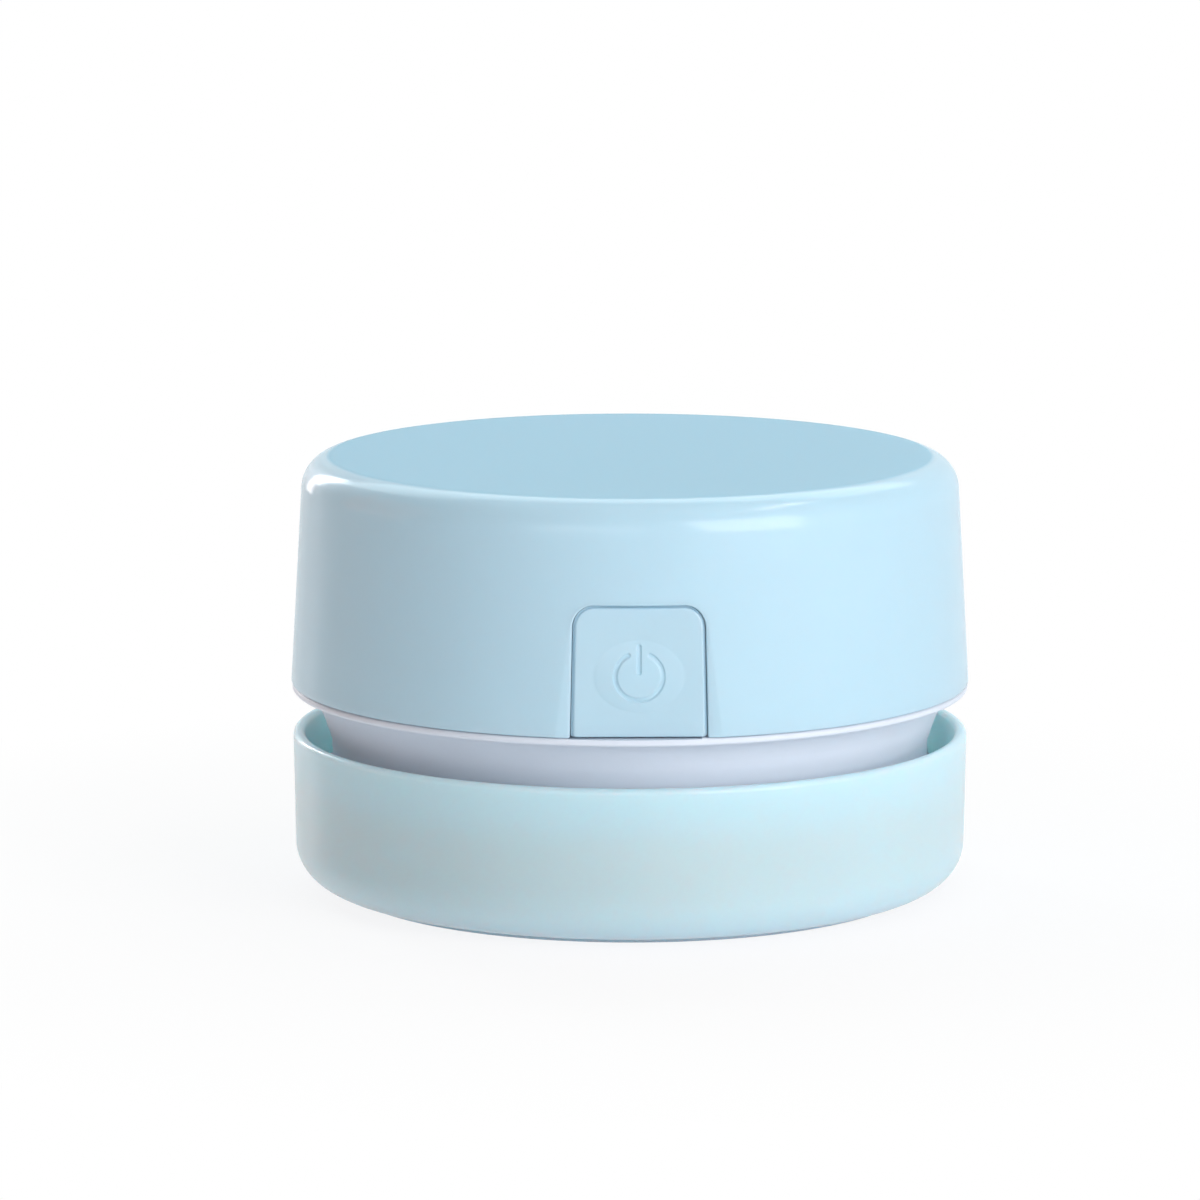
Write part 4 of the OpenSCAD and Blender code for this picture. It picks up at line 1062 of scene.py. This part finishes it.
neck_mesh = from_form("neck", neck_form)
tidy_mesh(neck_mesh, sharp=28, weld=FINE_WELD)
show("mid_frame_flared", neck_mesh, body_of["mid_frame"], "frame_plastic", ["mid_frame"])

# %% [markdown]
# ## Brush strips
# Four curved strips of nylon surround the inlet and sweep the crumbs in. Particles could grow
# them, but a tree that counts is easier to steer: strands stand in a sunflower spiral and make a
# tuft, and tufts stand in rows along each strip. The seed is fixed, so the lean of every strand
# is the same at each run.

# %% The bristle rule
tuft_rule, give, take = new_tree("bristles", {
    "Strips": ("Int", 4), "Rows": ("Int", 3), "Tufts": ("Int", 13), "Strands": ("Int", 12),
    "Length": ("Float", 4.55 * MM), "Thickness": ("Float", 0.17 * MM),
    "Spread": ("Float", 0.42 * MM), "Inner radius": ("Float", 15.6 * MM),
    "Width": ("Float", 4.0 * MM), "Strip angle": ("Float", math.radians(54)),
    "Root height": ("Float", 4.95 * MM), "Lean": ("Float", 0.06), "Seed": ("Int", 7),
    "Finish": ("Material", None)})
lay, find, plus, less, times, over = tools(tuft_rule)
number = lay("GeometryNodeInputIndex").outputs[0]
GOLDEN = math.pi * (3 - math.sqrt(5))
STRAND_SIDES, TOP_SHARE, TIP_SHARE, TRIM = 5, 0.5, 0.3, 0.955


def vector(*parts):
    """A vector of sockets or plain numbers."""
    return lay("ShaderNodeCombineXYZ", *parts).outputs[0]


def around(radius, angle, height):
    """The place at a radius and an angle round the axis."""
    return vector(times(radius, find("COSINE", angle)),
                  times(radius, find("SINE", angle)), height)


def drawn_by_lot(low, high, seed):
    """A random vector for each copy, the same at each run."""
    return lay("FunctionNodeRandomValue", low, high, data_type="FLOAT_VECTOR",
               Seed=seed).outputs[0]


# %% One tuft of the brush
strand_r = times(give["Spread"], find("SQRT", over(plus(number, 0.5), give["Strands"])))
roots = lay("GeometryNodePoints", give["Strands"], around(strand_r, times(number, GOLDEN), 0.0))
strand = lay("GeometryNodeMeshCone", STRAND_SIDES, 2, 1, Depth=give["Length"],
             Radius_Top=times(give["Thickness"], TOP_SHARE),
             Radius_Bottom=times(give["Thickness"], TIP_SHARE))
hung = lay("GeometryNodeTransform", strand.outputs["Mesh"],
           Translation=vector(0.0, 0.0, times(give["Length"], -1.0)))
back = times(give["Lean"], -1.0)
sway = drawn_by_lot(vector(back, back, 0.0), vector(give["Lean"], give["Lean"], math.tau),
                    give["Seed"])
tuft = lay("GeometryNodeInstanceOnPoints", roots.outputs[0], Instance=hung.outputs[0],
           Rotation=sway)
whole_tuft = lay("GeometryNodeRealizeInstances", tuft.outputs[0])

# %% Tufts in rows, and rows in strips
per_strip = times(give["Rows"], give["Tufts"])
strip = find("FLOOR", over(number, per_strip))
rest = less(number, times(strip, per_strip))
row = find("FLOOR", over(rest, give["Tufts"]))
along = less(rest, times(row, give["Tufts"]))
stagger = times(find("MODULO", row, 2.0), 0.5)
share = less(over(plus(plus(along, 0.25), stagger), give["Tufts"]), 0.5)
bearing = plus(times(share, give["Strip angle"]), over(times(strip, math.tau), give["Strips"]))
tuft_r = plus(give["Inner radius"], times(give["Width"], over(plus(row, 0.5), give["Rows"])))
spots = lay("GeometryNodePoints", times(per_strip, give["Strips"]),
            around(tuft_r, bearing, give["Root height"]))
brush = lay("GeometryNodeInstanceOnPoints", spots.outputs[0],
            Instance=whole_tuft.outputs[0],
            Rotation=drawn_by_lot((0, 0, 0), (0, 0, math.tau), plus(give["Seed"], 1.0)),
            Scale=drawn_by_lot((1, 1, TRIM), (1, 1, 1), plus(give["Seed"], 2.0)))
end_tree(tuft_rule, brush.outputs[0], give, take)

# %% Brush strips
BAR_IN, BAR_OUT, BAR_LOW, BAR_HIGH, BAR_ANGLE, BAR_SOFT, BAR_STEPS = (
    15.7, 19.5, 4.6, 5.6, math.radians(57.2), 0.15, 36)


def backing_bar():
    """The curved bar that the bristles stand in, with softened edges, centred on +X."""
    r_in, r_out, low, high = BAR_IN + BAR_SOFT, BAR_OUT - BAR_SOFT, BAR_LOW, BAR_HIGH
    section = [(r_in, low), (r_out, low), (BAR_OUT, low + BAR_SOFT), (BAR_OUT, high - BAR_SOFT),
               (r_out, high), (r_in, high), (BAR_IN, high - BAR_SOFT), (BAR_IN, low + BAR_SOFT)]
    points, size = [], len(section)
    for i in range(BAR_STEPS + 1):
        a = BAR_ANGLE * (i / BAR_STEPS - 0.5)
        points += [(r * math.cos(a), r * math.sin(a), z) for r, z in section]
    rings = [range(i * size, (i + 1) * size) for i in range(BAR_STEPS + 1)]
    return mesh_of("bar", points, bridge(rings, ring=True) + [rings[0], rings[-1]])


strands = run_tree(mesh_of("bristles", [(0, 0, 0)]), tuft_rule, "bristles",
                   Finish=finishes["bristle_nylon"])
backing = copies("backing", backing_bar(), [((0, 0, 0), (0, 0, 90 * i)) for i in range(4)],
                 "bristle_nylon")
brush_form = bmesh.new()
for mesh in (backing, strands):
    brush_form.from_mesh(mesh)
brush = from_form("brush", brush_form)
tidy_mesh(brush, sharp=45, weld=TINY_WELD)
show("brush_strips", brush, "cup", "bristle_nylon",
     ["brush_strip_front", "brush_strip_right", "brush_strip_back", "brush_strip_left"])

# %% [markdown]
# ## Screws
# Small pan-head screws with a cross hold the plate, the cover, the motor and the board. A cross
# could be cut by a Boolean, but pressing it into the loops of the head gives it the soft edges
# of a forged one. One master per size is drawn as loops round its axis, with the thread as a run
# of rings, and the copying rule sets it at each hole.

# %% Screw master
HEAD_SHARE, ARM_SHARE, CROSS_REACH, CROSS_DEPTH, CROSS_SIDE = 0.9, 0.13, 0.62, 0.62, 0.08
ARM_OUT, CROSS_END, CROWN, TURN_H, ROOT_SHARE = 0.05, 0.35, 0.22, 0.4, 0.8


def screw_master(diameter, length, head_h, count=48):
    """A screw that points up, with the underside of its head at z = 0, in mm."""
    head_r, r, depth = HEAD_SHARE * diameter, diameter / 2, CROSS_DEPTH * head_h
    turns = np.arange(count) * math.tau / count
    cos_t, sin_t = np.cos(turns), np.sin(turns)
    points, rings = [(0, 0, -head_h + depth)], []

    def add(radius, height):
        """One more ring; its height may change on the way round."""
        rings.append(range(len(points), len(points) + count))
        heights = np.broadcast_to(height, count)
        points.extend(zip(radius * cos_t, radius * sin_t, heights))

    for ring_r in np.linspace(0.06, 0.9, 15) * head_r:
        x, y = np.abs(ring_r * cos_t), np.abs(ring_r * sin_t)
        narrow, wide = np.minimum(x, y), np.maximum(x, y)
        arm = np.clip((ARM_SHARE + ARM_OUT - narrow / head_r) / CROSS_SIDE, 0, 1)
        end = np.clip((CROSS_REACH - wide / head_r) / CROSS_END, 0, 1)
        add(ring_r, depth * arm * end - head_h * (1 - CROWN * (ring_r / head_r) ** 3))
    for share, height in ((0.96, -0.66), (1.0, -0.45), (1.0, -0.04), (0.97, 0.0)):
        add(share * head_r, height * head_h)
    add(r, 0.0)
    for z in 0.1 + TURN_H * np.arange(int((length - 0.5) / TURN_H)):
        add(ROOT_SHARE * r, z + 0.05)
        add(r, z + TURN_H / 2)
    add(0.75 * r, length - 0.3)
    add(0.3 * r, length)
    points.append((0, 0, length))
    faces = bridge(rings, ring=True) + cap(0, rings[0][::-1]) + cap(len(points) - 1, rings[-1])
    master = mesh_of("screw", points, faces)
    tidy_mesh(master, sharp=35, weld=TINY_WELD)
    return master


# %% Screws in their holes
def box_mm(node):
    """The lowest and highest corner of a node, in mm."""
    return [Vector(corner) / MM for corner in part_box(node)]


ALL, SIDES, BACK = ((-1, -1), (-1, 1), (1, -1), (1, 1)), ((1, 0), (-1, 0)), ((1, 1), (-1, 1))
SCREWS = (  # node, body, thread, length, height of the head, turned over, corners of its box
    ("plate_screws", "cup", 2.0, 2.6, 0.8, False, ALL),
    ("cover_screws", "head", 2.4, 10.8, 1.4, False, ALL),
    ("motor_screws", "head", 2.0, 3.2, 0.8, False, SIDES),
    ("board_screws", "head", 2.0, 3.4, 0.8, True, BACK),
)
FIRST_TURN, NEXT_TURN = 12, 37
for node, body, diameter, length, head_h, inverted, corners in SCREWS:
    low, high = box_mm(node)
    x, y = high.x - HEAD_SHARE * diameter, high.y - HEAD_SHARE * diameter
    z = high.z - head_h if inverted else low.z + head_h
    made = copies(node, screw_master(diameter, length, head_h),
                  [((sx * x, sy * y, z), (180 if inverted else 0, 0, NEXT_TURN * i + FIRST_TURN))
                   for i, (sx, sy) in enumerate(corners)], "screw_steel")
    tidy_mesh(made, sharp=35, weld=TINY_WELD)
    show(node + "_crossed", made, body, "steel", [node], "screw_steel")

# %% [markdown]
# ## Filter cloth
# The cloth is a pressed felt: a soft sheet with a grid of small bond points, which catch the
# light as dimples. Cloth simulation has nothing to do on a sheet that is glued in a frame, so a
# square grid is bent to a disc, pressed in at the bond points and roughened with a fixed seed.

# %% Filter cloth
STEPS, PITCH, BOND_R, BOND_DEPTH, PRESSED, FUZZ = 150, 2.4, 0.75, 0.17, 0.03, 0.02
low, high = box_mm("filter_cloth")
cloth_r, size = high.x - 0.02, (STEPS + 1) ** 2
rng = np.random.default_rng(5)
fuzz = rng.normal(0, 1, (STEPS + 1, STEPS + 1))
fuzz = (fuzz + np.roll(fuzz, 1, 0) + np.roll(fuzz, 1, 1) + np.roll(fuzz, (1, 1), (0, 1))) / 4


def cloth_point(i, j):
    """Where a point of the square grid lies on the disc, and how deep it is pressed."""
    a, b = 2 * i / STEPS - 1, 2 * j / STEPS - 1
    x = cloth_r * a * math.sqrt(1 - b * b / 2)
    y = cloth_r * b * math.sqrt(1 - a * a / 2)
    u, v = (x + y) / PITCH / 1.414, (x - y) / PITCH / 1.414
    off = math.hypot(u - round(u), v - round(v)) * PITCH
    bond = max(0.0, 1 - off / BOND_R) ** 1.5
    edge = min(1.0, (1 - max(abs(a), abs(b))) * 8)
    return x, y, edge * (BOND_DEPTH * bond + PRESSED + FUZZ * min(1.5, abs(fuzz[i, j])))


pressed = [cloth_point(i, j) for i in range(STEPS + 1) for j in range(STEPS + 1)]
points = ([(x, y, high.z - press) for x, y, press in pressed]
          + [(x, y, low.z + press) for x, y, press in pressed])
grid = np.arange(size).reshape(STEPS + 1, STEPS + 1)
hem = np.concatenate((grid[:-1, 0], grid[-1, :-1], grid[:0:-1, -1], grid[0, :0:-1]))
faces = [tuple(int(i) for i in face) for rows in (grid, grid + size) for face in bridge(rows)]
faces += [tuple(int(i) for i in face) for face in bridge([hem, hem + size], ring=True)]
cloth = mesh_of("cloth", points, faces)
tidy_mesh(cloth, sharp=60, weld=TINY_WELD)
show("filter_felt_disc", cloth, body_of["filter_cloth"], "filter_felt", ["filter_cloth"])

# %% [markdown]
# ## Neck seal
# The seal is a ring of soft rubber with two thin lips that brush the inside of the cup. A bevel
# on a plain ring would give it no lips, so it is turned from a profile, as the cup was.

# %% Neck seal
SEAL_T, LIP_OUT, LIP_R, LIP_TAPER, GROOVE_HALF = 0.98, 0.45, 0.1, 0.04, 0.06
low, high = box_mm("neck_seal")
r_in, r_root, lip_x = high.x - SEAL_T, high.x - LIP_OUT, high.x - LIP_R
middle = (low.z + high.z) / 2
profile = ([(r_in, low.z), (r_root, low.z), (lip_x, low.z + LIP_TAPER)]
           + arc(lip_x, low.z + LIP_TAPER + LIP_R, LIP_R, -90, 90, 6)
           + [(r_root, middle - GROOVE_HALF), (r_root, middle + GROOVE_HALF),
              (lip_x, high.z - LIP_TAPER - 2 * LIP_R)]
           + arc(lip_x, high.z - LIP_TAPER - LIP_R, LIP_R, -90, 90, 6)
           + [(r_root, high.z), (r_in, high.z)])
seal = turned("seal", profile, "seal_rubber", 240)
tidy_mesh(seal, sharp=50)
show("seal_lips", seal, body_of["neck_seal"], "seal_rubber", ["neck_seal"])

# %% [markdown]
# ## Charging socket contacts
# The tongue of the socket carries two rows of twelve gilded contacts. They are small, but the
# back of the drum shows little else, so the copying rule sets them too.

# %% Contacts
PAD_SIZE, PAD_SOFT, PAD_PITCH, PAD_ROW, PAD_BACK, PADS = (0.26, 2.4, 0.06), 0.02, 0.5, 0.36, 2.6, 12
low, high = box_mm("charge_socket")
pad = block("pad", lambda *corner: [c * s for c, s in zip(corner, PAD_SIZE)], PAD_SOFT, 1)
pads = copies("contacts", pad, [
    ((PAD_PITCH * (i - (PADS - 1) / 2), high.y - PAD_BACK, (low.z + high.z) / 2 + row * PAD_ROW),
     (0, 0, 0)) for i in range(PADS) for row in (-1, 1)], "brass")
tidy_mesh(pads, sharp=30, weld=TINY_WELD)
show("socket_contacts", pads, body_of["charge_socket"], "brass", [])
